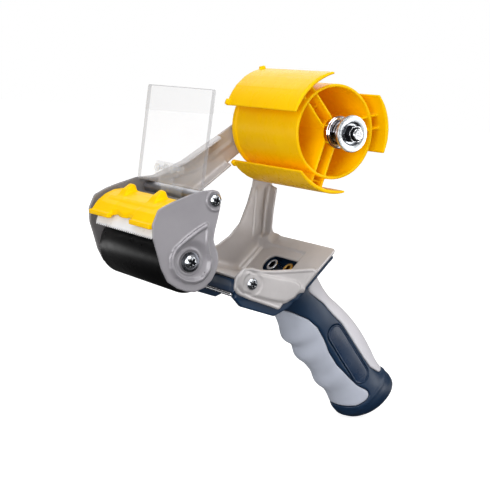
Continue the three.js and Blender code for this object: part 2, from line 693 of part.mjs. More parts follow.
put('blade_holder', bladeHolder(), PLATE);
put('blade', blade(), 0xe4e6ea, 1, 0.25);
put('blade_screw_1', bladeScrew(-24), STEEL, 1, 0.3);
put('blade_screw_2', bladeScrew(24), STEEL, 1, 0.3);
put('handle_left', handleAll.intersect(leftHalf), NAVY);
put('handle_right', handleAll.intersect(rightHalf), NAVY);
put('finger_grip', fingerGrip, GREY, 0, 0.7);
put('back_grip', backGrip, PALE, 0, 0.6);
put('badge_left', badgePlate(5, 30), NAVY, 0, 0.3);
put('badge_right', badgePlate(-30, -5), NAVY, 0, 0.3);
put('nose_strip', bar(1.25, -38.5, 30.5, 67.3, -104.6, 16), STEEL, 1, 0.25);
put('handle_bolt', handleBolt(), STEEL, 1, 0.25);
put('brass_insert', brassInsert(), 0xb08a3c, 1, 0.35);
put('saddle_screw_left', screw(4.25, 2.4, 1.85, 14, WALL_IN + 1.9, 1, SADDLE_X, SADDLE_Z), STEEL, 1, 0.25);
put('saddle_screw_right', screw(4.25, 2.4, 1.85, 14, -42.8, -1, SADDLE_X, SADDLE_Z), STEEL, 1, 0.25);
for (const [i, [x, z]] of SHELL_SCREWS.entries()) {
  put(`shell_screw_${i + 1}`, screw(2.7, 1.7, 1.2, 20, -11.7, -1, x, z), STEEL, 1, 0.3);
}

export default parts;
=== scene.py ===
# Tape gun dispenser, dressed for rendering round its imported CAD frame.
# Shapes are worked out in millimetres about the tape hub's axis (x forwards, y to the gun's left, z up).
import json
import math
import bmesh
import bpy
import numpy as np
from mathutils import Matrix, Vector


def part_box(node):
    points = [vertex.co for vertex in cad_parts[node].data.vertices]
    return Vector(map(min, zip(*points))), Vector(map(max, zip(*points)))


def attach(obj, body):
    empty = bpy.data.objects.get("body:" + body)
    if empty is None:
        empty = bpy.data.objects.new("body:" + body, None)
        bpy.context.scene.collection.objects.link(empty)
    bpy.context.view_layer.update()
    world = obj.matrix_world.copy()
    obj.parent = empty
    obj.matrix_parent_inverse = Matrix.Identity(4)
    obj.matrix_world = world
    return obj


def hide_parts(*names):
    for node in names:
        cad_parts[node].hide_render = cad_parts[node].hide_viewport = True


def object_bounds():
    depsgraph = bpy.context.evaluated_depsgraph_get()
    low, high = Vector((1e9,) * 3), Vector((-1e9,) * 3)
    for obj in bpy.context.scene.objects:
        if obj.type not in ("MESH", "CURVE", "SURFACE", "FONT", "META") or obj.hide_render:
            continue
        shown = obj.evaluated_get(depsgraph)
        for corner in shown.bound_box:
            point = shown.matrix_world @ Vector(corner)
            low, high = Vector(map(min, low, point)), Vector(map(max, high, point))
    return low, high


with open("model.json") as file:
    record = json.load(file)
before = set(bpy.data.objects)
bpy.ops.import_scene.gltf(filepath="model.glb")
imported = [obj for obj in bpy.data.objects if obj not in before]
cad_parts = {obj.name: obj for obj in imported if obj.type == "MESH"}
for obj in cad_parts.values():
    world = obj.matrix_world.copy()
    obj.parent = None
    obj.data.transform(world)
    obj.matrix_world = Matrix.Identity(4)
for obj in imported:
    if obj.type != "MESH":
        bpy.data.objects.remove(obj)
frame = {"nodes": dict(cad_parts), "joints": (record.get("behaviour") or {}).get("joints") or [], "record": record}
cad_box = [list(v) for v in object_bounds()]
JOINT = {j["name"]: j for j in frame["joints"]}
HUB = Vector(JOINT["hub_spin"]["pos_m"])


def rel(joint):
    """A joint's x and z in mm about the hub axis."""
    p = (Vector(JOINT[joint]["pos_m"]) - HUB) * 1000
    return p.x, p.z


ROLLER = rel("roller_spin")
ROD = rel("guard_hinge")
PIN = rel("cover_pivot")


def extent(node):
    """A node's box in mm about the hub axis."""
    lo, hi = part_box(node)
    return [[(v - HUB[i]) * 1000 for i, v in enumerate(end)] for end in (lo, hi)]


RIGHT_OUT = extent("side_frame")[0][1]


# ---------- distance fields ----------
TINY = 1e-9


def off_line(X, Z, a, b):
    """Squared distance to the straight run from a to b."""
    ex, ez = b[0] - a[0], b[1] - a[1]
    wx, wz = X - a[0], Z - a[1]
    t = np.clip((wx * ex + wz * ez) / (ex * ex + ez * ez + TINY ** 2), 0, 1)
    return (wx - ex * t) ** 2 + (wz - ez * t) ** 2


def path(X, Z, pts):
    """Distance to an open run of points."""
    return np.sqrt(np.minimum.reduce([off_line(X, Z, a, b) for a, b in zip(pts[:-1], pts[1:])]))


def poly(X, Z, pts):
    """Signed distance to a closed outline."""
    closed = np.vstack([pts, pts[:1]])
    inside = False
    for (ax, az), (bx, bz) in zip(closed[:-1], closed[1:]):
        rise = bz - az if abs(bz - az) > TINY else TINY
        inside = inside ^ (((Z >= az) != (Z >= bz)) & (X < (bx - ax) * (Z - az) / rise + ax))
    return np.where(inside, -1, 1) * path(X, Z, closed)


def span(V, lo, hi):
    """Distance to the slab from lo to hi."""
    return np.maximum(lo - V, V - hi)


def stadium(U, V, a, b, r):
    """Distance to a round-ended bar from a to b."""
    return np.sqrt(off_line(U, V, a, b)) - r


def disc(X, Z, at, r):
    return np.hypot(X - at[0], Z - at[1]) - r


def hexagon(a, b):
    """Distance across the flats of a hexagon, from its middle."""
    return np.maximum(np.abs(b), np.abs(a) * 0.866 + np.abs(b) * 0.5)


def both(a, b, r=0.0):
    """Intersection, with its edge rounded to about r."""
    if r <= 0:
        return np.maximum(a, b)
    h = np.maximum(r - np.abs(a - b), 0) / r
    return np.maximum(a, b) + h * h * r * 0.25


def join(a, b, r=0.0):
    """Union, with its corner filled to about r."""
    if r <= 0:
        return np.minimum(a, b)
    h = np.maximum(r - np.abs(a - b), 0) / r
    return np.minimum(a, b) - h * h * r * 0.25


def cut(a, b, r=0.0):
    """What is left of a, with its new edge rounded to about r."""
    return both(a, -b, r)


def step(v, w):
    """0 below -w, 1 above w, smooth between."""
    t = np.clip(v / (2 * w) + 0.5, 0, 1)
    return t * t * (3 - 2 * t)


def ridge(D, w):
    """1 on the line D = 0, falling smoothly to 0 at w either side."""
    t = np.clip(1 - np.abs(D) / w, 0, 1)
    return t * t * (3 - 2 * t)


def slope(field, at, e=0.02):
    """The field's gradient at a set of points."""
    away = e * np.eye(3)
    return np.stack([(field(*(at + v).T) - field(*(at - v).T)) / (2 * e) for v in away], 1)


POLISH = 2


def nets(field, lo, hi, h):
    """Quads over field = 0 inside the box lo..hi, in cells of h."""
    lo, hi = np.asarray(lo, float) - 1.5 * h, np.asarray(hi, float) + 1.5 * h
    n = np.ceil((hi - lo) / h).astype(int) + 1
    ax = [lo[i] + h * np.arange(n[i]) for i in range(3)]
    F = np.ascontiguousarray(np.broadcast_to(
        field(ax[0][:, None, None], ax[1][None, :, None], ax[2][None, None, :]), n), dtype=np.float64)
    S = F < 0
    if any(S.take(end, axis).any() for axis in range(3) for end in (0, -1)):
        print("warning: a shape meets its box", lo, hi)
    corners = [(i, j, k) for i in (0, 1) for j in (0, 1) for k in (0, 1)]
    c = n - 1
    cnt = np.zeros(c, np.uint8)
    for i, j, k in corners:
        cnt += S[i:i + c[0], j:j + c[1], k:k + c[2]]
    cell = np.argwhere((cnt > 0) & (cnt < len(corners)))
    index = np.full(c, -1, np.int64)
    index[tuple(cell.T)] = np.arange(len(cell))
    acc = np.zeros((len(cell), 3))
    num = np.zeros(len(cell))
    for a in corners:
        for d in range(3):
            if a[d]:
                continue
            b = list(a)
            b[d] = 1
            fa = F[cell[:, 0] + a[0], cell[:, 1] + a[1], cell[:, 2] + a[2]]
            fb = F[cell[:, 0] + b[0], cell[:, 1] + b[1], cell[:, 2] + b[2]]
            m = (fa < 0) != (fb < 0)
            t = np.where(m, fa / np.where(m, fa - fb, 1), 0)
            q = np.array(a, float)[None] + t[:, None] * (np.array(b) - np.array(a))[None]
            acc += np.where(m[:, None], q, 0)
            num += m
    verts = lo + (cell + acc / num[:, None]) * h
    quads = []
    for d in range(3):
        e1, e2 = (d + 1) % 3, (d + 2) % 3
        A = S[tuple(slice(0, n[i] - 1) if i == d else slice(1, n[i] - 1) for i in range(3))]
        B = S[tuple(slice(1, n[i]) if i == d else slice(1, n[i] - 1) for i in range(3))]
        for flip, M in ((False, A & ~B), (True, ~A & B)):
            g = np.argwhere(M)
            if not len(g):
                continue
            g = g + np.array([0 if i == d else 1 for i in range(3)])
            u, v = np.zeros(3, int), np.zeros(3, int)
            u[e1], v[e2] = 1, 1
            q = [index[tuple(at.T)] for at in (g - u - v, g - v, g, g - u)]
            if flip:
                q = q[::-1]
            quads.append(np.stack(q, 1))
    quads = np.vstack(quads)
    # The points then slide down the field's slope on to its surface, by no more than part of a cell.
    for _ in range(POLISH):
        grad = slope(field, verts)
        g2 = np.maximum((grad ** 2).sum(1), 0.25)
        move = -(field(*verts.T) / g2)[:, None] * grad
        size = np.linalg.norm(move, axis=1, keepdims=True)
        verts += move * np.minimum(1, 0.4 * h / np.maximum(size, TINY))
    return verts, quads


def solid(name, verts, faces, body, mat, nodes):
    """A piece from points in mm about the hub axis, in place of some CAD nodes."""
    me = bpy.data.meshes.new(name)
    co = np.asarray(verts, float) * 0.001 + np.array(HUB)
    if isinstance(faces, np.ndarray):
        k = faces.shape[1]
        me.vertices.add(len(co))
        me.vertices.foreach_set("co", co.ravel())
        me.loops.add(faces.size)
        me.loops.foreach_set("vertex_index", faces.ravel())
        me.polygons.add(len(faces))
        me.polygons.foreach_set("loop_start", np.arange(0, faces.size, k))
        me.polygons.foreach_set("loop_total", np.full(len(faces), k))
    else:
        me.from_pydata([tuple(v) for v in co], [], faces)
    me.update(calc_edges=True)
    me.validate()
    me.polygons.foreach_set("use_smooth", np.full(len(me.polygons), True))
    me.materials.append(MAT[mat])
    ob = bpy.data.objects.new(name, me)
    bpy.context.scene.collection.objects.link(ob)
    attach(ob, body)
    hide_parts(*nodes)
    return ob


# ---------- materials ----------
LOW, HIGH = 0.3, 0.7  # the part of a noise's range that is used


def rgb(r, g, b):
    """sRGB 0-255 to linear."""
    return tuple(((c / 255 + 0.055) / 1.055) ** 2.4 if c > 10 else c / 255 / 12.92 for c in (r, g, b))


class Mat:
    """A node material with small helpers for layered noise."""

    def __init__(self, name, base, rough, metal=0.0, **sockets):
        self.m = bpy.data.materials.new(name)
        self.m.use_nodes = True
        self.t = self.m.node_tree
        self.b = self.t.nodes["Principled BSDF"]
        self.b.inputs["Base Color"].default_value = (*base, 1)
        self.b.inputs["Roughness"].default_value = rough
        self.b.inputs["Metallic"].default_value = metal
        for k, v in sockets.items():
            self.b.inputs[k.replace("_", " ")].default_value = v
        self.co = self.t.nodes.new("ShaderNodeTexCoord").outputs["Object"]

    def noise(self, scale, detail=3.0, rough=0.55):
        n = self.t.nodes.new("ShaderNodeTexNoise")
        n.inputs["Scale"].default_value = scale
        n.inputs["Detail"].default_value = detail
        n.inputs["Roughness"].default_value = rough
        self.t.links.new(self.co, n.inputs["Vector"])
        return n.outputs["Fac"]

    def ramp(self, fac, stops):
        r = self.t.nodes.new("ShaderNodeValToRGB")
        el = r.color_ramp.elements
        while len(el) < len(stops):
            el.new(0.5)
        for e, (p, c) in zip(el, stops):
            e.position = p
            e.color = (*c, 1)
        self.t.links.new(fac, r.inputs["Fac"])
        return r.outputs["Color"]

    def vary(self, fac, a, b):
        """Base colour drifting from a to b."""
        self.t.links.new(self.ramp(fac, [(LOW, a), (HIGH, b)]), self.b.inputs["Base Color"])

    def map(self, fac, lo, hi, a=0.0, b=1.0):
        """A factor's lo to hi, run from a to b."""
        m = self.t.nodes.new("ShaderNodeMapRange")
        for socket, v in zip(("From Min", "From Max", "To Min", "To Max"), (lo, hi, a, b)):
            m.inputs[socket].default_value = v
        self.t.links.new(fac, m.inputs["Value"])
        return m.outputs["Result"]

    def between(self, axis, lo, hi):
        """0 to 1 from lo to hi along an axis, in mm about the hub axis."""
        s = self.t.nodes.new("ShaderNodeSeparateXYZ")
        self.t.links.new(self.co, s.inputs[0])
        return self.map(s.outputs[axis], HUB[axis] + lo * 0.001, HUB[axis] + hi * 0.001)

    def product(self, kind, a, b):
        """Two sockets multiplied, in a node of the given kind."""
        m = self.t.nodes.new(kind)
        m.operation = "MULTIPLY"
        self.t.links.new(a, m.inputs[0])
        self.t.links.new(b, m.inputs[1])
        return m.outputs[0]

    def shade(self, along, across, tint):
        """Painted shade: a tint multiplied over the base colour, where both factors are high."""
        tints = self.ramp(self.product("ShaderNodeMath", along, across), [(0.0, (1, 1, 1)), (1.0, tint)])
        base = self.b.inputs["Base Color"]
        self.t.links.new(self.product("ShaderNodeVectorMath", base.links[0].from_socket, tints), base)

    def gloss(self, fac, a, b):
        """Roughness drifting from a to b."""
        self.t.links.new(self.map(fac, LOW, HIGH, a, b), self.b.inputs["Roughness"])

    def bump(self, fac, depth_mm, strength):
        b = self.t.nodes.new("ShaderNodeBump")
        b.inputs["Distance"].default_value = depth_mm * 0.001
        b.inputs["Strength"].default_value = strength
        self.t.links.new(fac, b.inputs["Height"])
        self.t.links.new(b.outputs["Normal"], self.b.inputs["Normal"])


def paint(name, a, b, painted_shading=None):
    """Satin paint. The last argument, if given, is painted shade: the x and y runs, in mm, over which a darkening
    comes in, and its tint.
    """
    rough = 0.38
    m = Mat(name, a, rough, 0.15, Coat_Weight=0.25, Coat_Roughness=0.3)
    m.vary(m.noise(60, 4), a, b)
    m.gloss(m.noise(220, 3), rough - 0.05, rough + 0.07)
    m.bump(m.noise(1500, 2), 0.05, 0.25)
    if painted_shading:
        m.shade(m.between(0, *painted_shading[0]), m.between(1, *painted_shading[1]), painted_shading[2])
    return m.m


def plastic(name, a, b, rough, grain=0.0, coat=0.0, shine=0.5, painted_glow=0.0):
    """Glow is painted light: an orange emission that lifts the moulding's shaded parts, standing in for the light
    that a pale moulding passes through its thin walls.
    """
    m = Mat(name, a, rough, 0.0, Coat_Weight=coat, Coat_Roughness=0.15, Specular_IOR_Level=shine,
            Emission_Color=(a[0], a[1] * 0.5, a[2], 1), Emission_Strength=painted_glow)
    m.vary(m.noise(45, 3), a, b)
    m.gloss(m.noise(160, 3), rough - 0.04, rough + 0.06)
    if grain:
        m.bump(m.noise(2600, 2), 0.06, grain)
    return m.m


def metal(name, a, b, rough, depth=0.02):
    m = Mat(name, a, rough, 1.0)
    m.vary(m.noise(90, 3), a, b)
    fine = m.noise(900, 3, 0.6)
    m.gloss(fine, rough - 0.06, rough + 0.1)
    m.bump(fine, depth, 0.12)
    return m.m


def clear(name, tint, shade, alpha):
    """Clear acrylic, thin enough that it only tints what is behind it."""
    m = Mat(name, tint, 0.05, 0.0, Alpha=alpha, IOR=1.49, Coat_Weight=0.3, Coat_Roughness=0.03)
    m.vary(m.noise(30, 2), tint, shade)
    m.gloss(m.noise(120, 3), 0.03, 0.09)
    m.bump(m.noise(400, 2), 0.01, 0.05)
    return m.m


def painted():
    """Every material, by its slot's name. Colours are sRGB, but for the yellows and the clear plastics."""
    # Painted shade: the side frame's inner face darkens towards the head, where the roller and the cover shade it.
    far_plate_painted_shade = ((50, 95), (RIGHT_OUT + 0.3, RIGHT_OUT + 1.2), (0.42, 0.42, 0.43))
    made = {"frame_paint": paint("frame_paint", rgb(188, 184, 184), rgb(178, 174, 174), far_plate_painted_shade)}
    for name, a, b in (("plate_paint", (150, 147, 152), (143, 140, 145)),
                       ("holder_paint", (120, 118, 122), (112, 110, 114))):
        made[name] = paint(name, rgb(*a), rgb(*b))
    # The yellows carry painted glow: an emission that lifts their shade towards orange.
    for name, a, b, look in (
            ("hub_yellow", (0.88, 0.55, 0.0), (0.86, 0.51, 0.0), dict(rough=0.28, shine=0.09, painted_glow=0.1)),
            ("cover_yellow", (0.93, 0.57, 0.0), (0.9, 0.53, 0.0), dict(rough=0.36, shine=0.05, painted_glow=0.04))):
        made[name] = plastic(name, a, b, **look)
    for name, a, b, look in (
            ("roller_black", (9, 9, 10), (7, 7, 8), dict(rough=0.3, grain=0.02, shine=0.3)),
            ("core_black", (16, 16, 18), (24, 24, 26), dict(rough=0.5, grain=0.2)),
            ("shell_navy", (22, 47, 74), (17, 40, 65), dict(rough=0.34, grain=0.15, coat=0.02, shine=0.35)),
            ("badge_navy", (20, 44, 72), (16, 38, 64), dict(rough=0.28, grain=0.05, coat=0.05, shine=0.4)),
            ("grip_grey", (184, 189, 202), (176, 181, 194),
             dict(rough=0.4, grain=0.35, coat=0.02, shine=0.35)),
            ("back_pale", (216, 214, 219), (208, 206, 212),
             dict(rough=0.42, grain=0.3, coat=0.02, shine=0.35)),
            ("blade_steel", (253, 253, 254), (246, 247, 249), dict(rough=0.3, grain=0.02, coat=0.2))):
        made[name] = plastic(name, rgb(*a), rgb(*b), **look)
    for name, a, b, alpha in (("guard_clear", (0.9, 0.88, 0.9), (0.86, 0.85, 0.87), 0.12),
                              ("guard_edge", (0.36, 0.35, 0.36), (0.28, 0.27, 0.28), 0.45),
                              ("block_clear", (0.7, 0.71, 0.74), (0.64, 0.66, 0.69), 0.16),
                              ("rivet_clear", (0.7, 0.72, 0.75), (0.64, 0.66, 0.69), 0.25)):
        made[name] = clear(name, a, b, alpha)
    for name, a, b, look in (
            ("bolt_zinc", (240, 242, 245), (228, 231, 235), dict(rough=0.16, depth=0.005)),
            ("spacer_zinc", (196, 198, 202), (176, 178, 184), dict(rough=0.25)),
            ("cup_chrome", (226, 226, 230), (210, 211, 216), dict(rough=0.13, depth=0.005)),
            ("spring_steel", (150, 150, 154), (120, 120, 126), dict(rough=0.22)),
            ("washer_zinc", (232, 236, 240), (216, 221, 226), dict(rough=0.3)),
            ("nut_zinc", (240, 242, 245), (228, 231, 235), dict(rough=0.16, depth=0.005)),
            ("axle_steel", (186, 187, 190), (166, 168, 172), dict(rough=0.25)),
            # The roller's washer is coloured far darker than zinc: painted shade for the dark ring round the screw
            # in its dish.
            ("axle_washer_zinc", (104, 106, 112), (92, 94, 100), dict(rough=0.26)),
            ("screw_zinc", (206, 209, 214), (190, 194, 200), dict(rough=0.2, depth=0.005)),
            # This dark material is painted shade, not plating: it colours the screws' driver recesses, the nut's
            # and the bolt end's sides and the socket.
            ("shade_painted_dark", (52, 54, 60), (40, 42, 47), dict(rough=0.4)),
            ("rod_steel", (188, 188, 193), (170, 170, 176), dict(rough=0.4)),
            ("pin_steel", (150, 151, 155), (130, 131, 136), dict(rough=0.3)),
            ("cover_spring_steel", (150, 150, 155), (126, 126, 132), dict(rough=0.25)),
            ("strip_chrome", (236, 237, 240), (224, 226, 230), dict(rough=0.2, depth=0.004)),
            ("insert_brass", (201, 160, 84), (168, 128, 58), dict(rough=0.24))):
        made[name] = metal(name, rgb(*a), rgb(*b), **look)
    return made


MAT = painted()
SLOT = {s["node"]: s["material_slot"] for s in frame["record"]["subparts"]}
for node, ob in frame["nodes"].items():
    ob.data.materials.clear()
    ob.data.materials.append(MAT[SLOT[node]])


# ---------- shared tools for pieces ----------
def rounded(pts, r=2.0, n=4):
    """Outline with its corners turned on radius r, or less where the edges are short."""
    p = np.asarray(pts, float)
    out = []
    for i in range(len(p)):
        a, b, c = p[i - 1], p[i], p[(i + 1) % len(p)]
        u, v = a - b, c - b
        lu, lv = np.linalg.norm(u), np.linalg.norm(v)
        half = math.acos(max(-1, min(1, float(u @ v) / (lu * lv)))) / 2
        back = min(r / max(math.tan(half), 0.05), lu / 2, lv / 2)
        s, e = b + u / lu * back, b + v / lv * back
        for t in np.linspace(0, 1, n + 1):
            out.append((1 - t) ** 2 * s + 2 * t * (1 - t) * b + t * t * e)
    return np.array(out)


class Plan:
    """An outline's signed distance, kept on a fine grid."""

    def __init__(self, pts, r=2.0, grid=0.3, pad=9):
        p = rounded(pts, r)
        self.lo, self.grid = p.min(0) - pad, grid
        n = np.ceil((p.max(0) + pad - self.lo) / grid).astype(int) + 1
        X = self.lo[0] + grid * np.arange(n[0])[:, None]
        Z = self.lo[1] + grid * np.arange(n[1])[None, :]
        self.g = poly(X, Z, p)

    def __call__(self, X, Z):
        g = self.g
        u = np.clip((X - self.lo[0]) / self.grid, 0, g.shape[0] - 1.01)
        w = np.clip((Z - self.lo[1]) / self.grid, 0, g.shape[1] - 1.01)
        i, k = np.floor(u).astype(int), np.floor(w).astype(int)
        u, w = u - i, w - k
        near, far = (g[i, m] * (1 - u) + g[i + 1, m] * u for m in (k, k + 1))
        return near * (1 - w) + far * w


def sculpt(name, field, nodes, body, mat, h, grow=0.4):
    """A piece from a distance field, in the space of the CAD nodes that it stands for."""
    boxes = [extent(n) for n in nodes]
    lo = np.min([b[0] for b in boxes], 0) - grow
    hi = np.max([b[1] for b in boxes], 0) + grow
    return solid(name, *nets(field, lo, hi, h), body, mat, nodes)


def darken(ob, test):
    """Painted shade: a dark material on the faces that pass a test of their middle, in mm, and their normal."""
    ob.data.materials.append(MAT["shade_painted_dark"])
    for p in ob.data.polygons:
        p.material_index = int(test(*(Vector(p.center) - HUB) * 1000, p.normal))


def side_wall(x, y, z, normal):
    return abs(normal.y) < 0.75


def lathe(name, profile, at, node, body, mat, n=72):
    """A turned piece about an axis along y. The profile is a closed run of (radius, y)."""
    v, f = [], []
    m = len(profile)
    for j in range(n):
        a = 2 * math.pi * j / n
        v += [(at[0] + r * math.cos(a), y, at[1] + r * math.sin(a)) for r, y in profile]
    for j in range(n):
        for i in range(m):
            a, b = j * m + i, j * m + (i + 1) % m
            c, d = ((j + 1) % n) * m + (i + 1) % m, ((j + 1) % n) * m + i
            f.append((a, b, c, d))
    return finish_faces(name, v, f, node, body, mat)


def finish_faces(name, v, f, node, body, mat, crisp=38):
    """A piece from points and faces, with its edges sharp past an angle of crisp."""
    ob = solid(name, v, f, body, mat, (node,))
    bm = bmesh.new()
    bm.from_mesh(ob.data)
    bmesh.ops.remove_doubles(bm, verts=bm.verts, dist=1e-6)
    bmesh.ops.dissolve_degenerate(bm, dist=1e-7, edges=bm.edges)
    bmesh.ops.recalc_face_normals(bm, faces=bm.faces)
    bm.to_mesh(ob.data)
    bm.free()
    ob.data.set_sharp_from_angle(angle=math.radians(crisp))
    return ob


def helix(name, node, body, mat, radius, wire, y0, y1, turns):
    """A coil spring about the hub axis, with its wire's ends capped."""
    steps, ring = 28, 10  # points along each turn and round the wire
    v, f = [], []
    n = int(steps * turns)
    rise = y1 - y0 - 2 * wire
    for i in range(n + 1):
        t = i / n
        a = 2 * math.pi * turns * t
        pitch = rise / (2 * math.pi * turns)
        up = Vector((-math.sin(a) * radius, pitch, math.cos(a) * radius)).normalized()
        out = Vector((math.cos(a), 0, math.sin(a)))
        side = up.cross(out)
        c = Vector((0, y0 + wire + rise * t, 0)) + out * radius
        for j in range(ring):
            b = 2 * math.pi * j / ring
            v.append(tuple(c + out * wire * math.cos(b) + side * wire * math.sin(b)))
    for i in range(n):
        for j in range(ring):
            k = (j + 1) % ring
            f.append((i * ring + j, i * ring + k, (i + 1) * ring + k, (i + 1) * ring + j))
    f.append(tuple(range(ring)))
    f.append(tuple(n * ring + j for j in range(ring))[::-1])
    return finish_faces(name, v, f, node, body, mat, 60)


# ---------- pressed side frame ----------
SHEET = 1.5
RIGHT_IN = RIGHT_OUT + SHEET
LEFT_IN, LEFT_OUT = (extent("head_plate")[i][1] for i in (0, 1))
FLANGE = 7.5
WALL_IN, WALL_OUT = 33.0, 34.6
PAN_AT, PAN_ANGLE = (13.2, -98.0), math.radians(46.6)
PC, PS = math.cos(PAN_ANGLE), math.sin(PAN_ANGLE)
SADDLE = (55.4, -97.3)


def pan(s, d):
    return PAN_AT[0] - PC * s - PS * d, PAN_AT[1] + PS * s - PC * d


def to_pan(X, Z):
    """Distance up the pan's slope and below its face."""
    x, z = X - PAN_AT[0], Z - PAN_AT[1]
    return -PC * x + PS * z, -PS * x - PC * z


HEAD = [(130, -51.4), (133.2, -60), (132.1, -68.6), (128.6, -77.1), (125, -86.4), (120, -94.3),
        (112.9, -98.2), (107.1, -100), (100.7, -100.7)]
ARM_BACK = [(-5.2, -75), (-5.4, -59), (-6.8, -42), (-10.5, -28)]
HUB_SEAT = [(-17, -5), (-16, 5), (-11, 13), (-2, 17), (7, 15.5), (13, 10)]
BAR_TOP = [(29.4, -1.3), (67.5, -27.5), (88.8, -38), (101, -39.4), (115, -44.2), (122, -47)]
BAR_UNDER = [(60, -50.5), (49.4, -42.5), (34, -30.2)]
ARM_FRONT = [(9.6, -43), (12.5, -55), (17.5, -68.8), (25, -77.5), (34.4, -84), (47, -86), (59, -80)]
KEEL = [(84, -101.5), (68, -104), (56, -107.5), (46, -110), (41, -112), (34, -114.5), (28.8, -114.5)]
SIDE = HEAD + KEEL + ARM_BACK + HUB_SEAT + BAR_TOP
WINDOW = BAR_UNDER + [(21.9, -20.6), (12, -19), (8.2, -30)] + ARM_FRONT + [(64.5, -70), (64.5, -57)]
WALL = [(3.6, -87.8), (23, -88.5), (38.7, -89), (49.5, -88.6), (56.5, -86.9), (61.7, -87.2), (65.8, -90.3),
        (68, -94), (68.3, -100.6), (65.3, -103.9), (56.7, -107.3), (44.2, -111), (32.6, -114.6),
        (30.3, -110.9), (27.2, -110.1), (21.2, -107), (16.2, -101.9), (14.6, -99.4)]
WALL_BOSS = [(62, -89.6), (52.1, -91), (38.9, -93.2), (23, -95.8), (17.6, -98.4), (18.6, -102), (23, -106.6),
             (29.4, -109.2), (34.9, -108.8), (45.1, -106.8), (55.2, -104.2), (62.2, -102), (65.9, -98),
             (65.7, -92.2)]
side_plan = Plan(SIDE, 4)
window_plan = Plan(WINDOW, 3)
wall_plan = Plan(WALL, 2.4)
boss_plan = Plan(WALL_BOSS, 5)
# The runs of the outline that stand up as flanges, clear of the hub's wings.
FLANGED = [[(92, -39.5), (67.5, -27.5), (29.4, -1.3), (22, 3)],
           [(-5.3, -82), (-5.4, -59), (-6.8, -42), (-8.5, -36)],
           [(66, -55)] + BAR_UNDER + [(26, -24)]]
HUB_CLEAR = 42.8
BEAD = [(80, -40), (56, -33), (30, -14)]
BAND_X = 2.6
SLOT_FROM, SLOT_TO, SLOT_R = (8.7, -16.7), (8.7, 40), 6.7
BORES = [(4.4, (0, 0), -60, -30), (2.4, ROLLER, -60, -30), (2.0, ROD, -60, -30), (1.9, PIN, -41.9, -30),
         (2.4, SADDLE, -60, -30), (2.4, SADDLE, 20, 60)]


def side_plate(X, Y, Z):
    """The side plate with its flanges, a raised band up the arm and a shallow bead along the bar."""
    D = np.maximum(side_plan(X, Z), -window_plan(X, Z))
    near = np.minimum.reduce([path(X, Z, run) for run in FLANGED])
    top = RIGHT_IN + FLANGE * step(5 - near, 2) * step(np.hypot(X, Z) - HUB_CLEAR, 1.1)
    band = step(3.4 - np.abs(X - BAND_X), 0.8) * step(-44 - Z, 3) * step(Z + 79, 3)
    rise = band + 0.7 * ridge(path(X, Z, BEAD), 2.6)
    tray = both(D, span(Y - rise * step(-2 - D, 1), RIGHT_OUT, top), 1.2)
    return cut(tray, both(D + SHEET, (RIGHT_IN + rise) - Y, 2.6), 0.6)


def pan_sheet(Y, s, d):
    """The sloping pan, with a pressed recess."""
    dip = 1.2 * step(22.6 - s, 0.9) * step(s + 3, 2) * step(9.5 - Y, 1.5) * step(Y + 36.5, 0.8)
    room = both(span(Y, RIGHT_IN - 0.5, WALL_OUT - 0.2), span(s, -6, 31.3), 4.0)
    return both(span(d - dip, 0, SHEET + 0.1), room, 0.5)


def left_wall(X, Y, Z):
    """The left wall, with a raised pocket round its screw."""
    W = wall_plan(X, Z)
    out = 1.3 * step(-boss_plan(X, Z), 1.1) - 0.9 * step(-disc(X, Z, SADDLE, 7.2), 0.7)
    out = out + 0.5 * ridge(W + 1.2, 1.2)
    wall = both(W, span(Y - out, WALL_IN, WALL_OUT), 0.7)
    return both(wall, WALL_IN - 0.1 - Y)


def frame_field(X, Y, Z):
    s, d = to_pan(X, Z)
    floor = both(span((Z + 93) - (X - 66.5) * 0.176, -SHEET, 0), span(X, 14, 66.5), 0.5)
    floor = both(floor, span(Y, RIGHT_IN - 0.5, WALL_OUT - 0.4), 0.4)
    body = join(pan_sheet(Y, s, d), floor, 2.5)
    body = join(body, side_plate(X, Y, Z), 7.0)
    body = join(body, left_wall(X, Y, Z), 2.2)
    body = np.maximum(body, RIGHT_OUT - Y)
    window = both(stadium(s, Y, SLOT_FROM, SLOT_TO, SLOT_R), Y - 8 - 0.35 * (s - SLOT_FROM[0]), 1.2)
    body = cut(body, window, 0.5)
    for r, at, lo, hi in BORES:
        body = cut(body, both(disc(X, Z, at, r), span(Y, lo, hi)), 0.3)
    return body


sculpt("frame_shell", frame_field, ["side_frame"], "frame", "frame_paint", 0.75)

# ---------- left head plate ----------
PLATE = [(127.1, -49.6)] + HEAD + [
    (94.3, -98.2), (89.3, -93.6), (86.4, -87.9), (85.4, -82.1), (86.1, -77.1), (88.6, -72.5), (90.1, -68.6),
    (89.6, -62.9), (88.2, -55.7), (87.1, -48.6), (87.5, -42.1), (89.3, -39.3), (93.6, -38.6), (100, -39.4),
    (107.1, -41.1), (114.3, -43.9), (121.4, -46.8)]
DROP = [(95.6, -57.6), (102.8, -61.6), (111.3, -67.6), (118.2, -74), (120, -79.6), (119, -86),
        (115.2, -90.8), (108.8, -94.2), (101.8, -95), (96.3, -93.4), (91.6, -87.5), (90.6, -81.4),
        (92.7, -75.9), (94.5, -69.3), (94.6, -62.7)]
plate_plan = Plan(PLATE, 3)
drop_plan = Plan(DROP, 3)


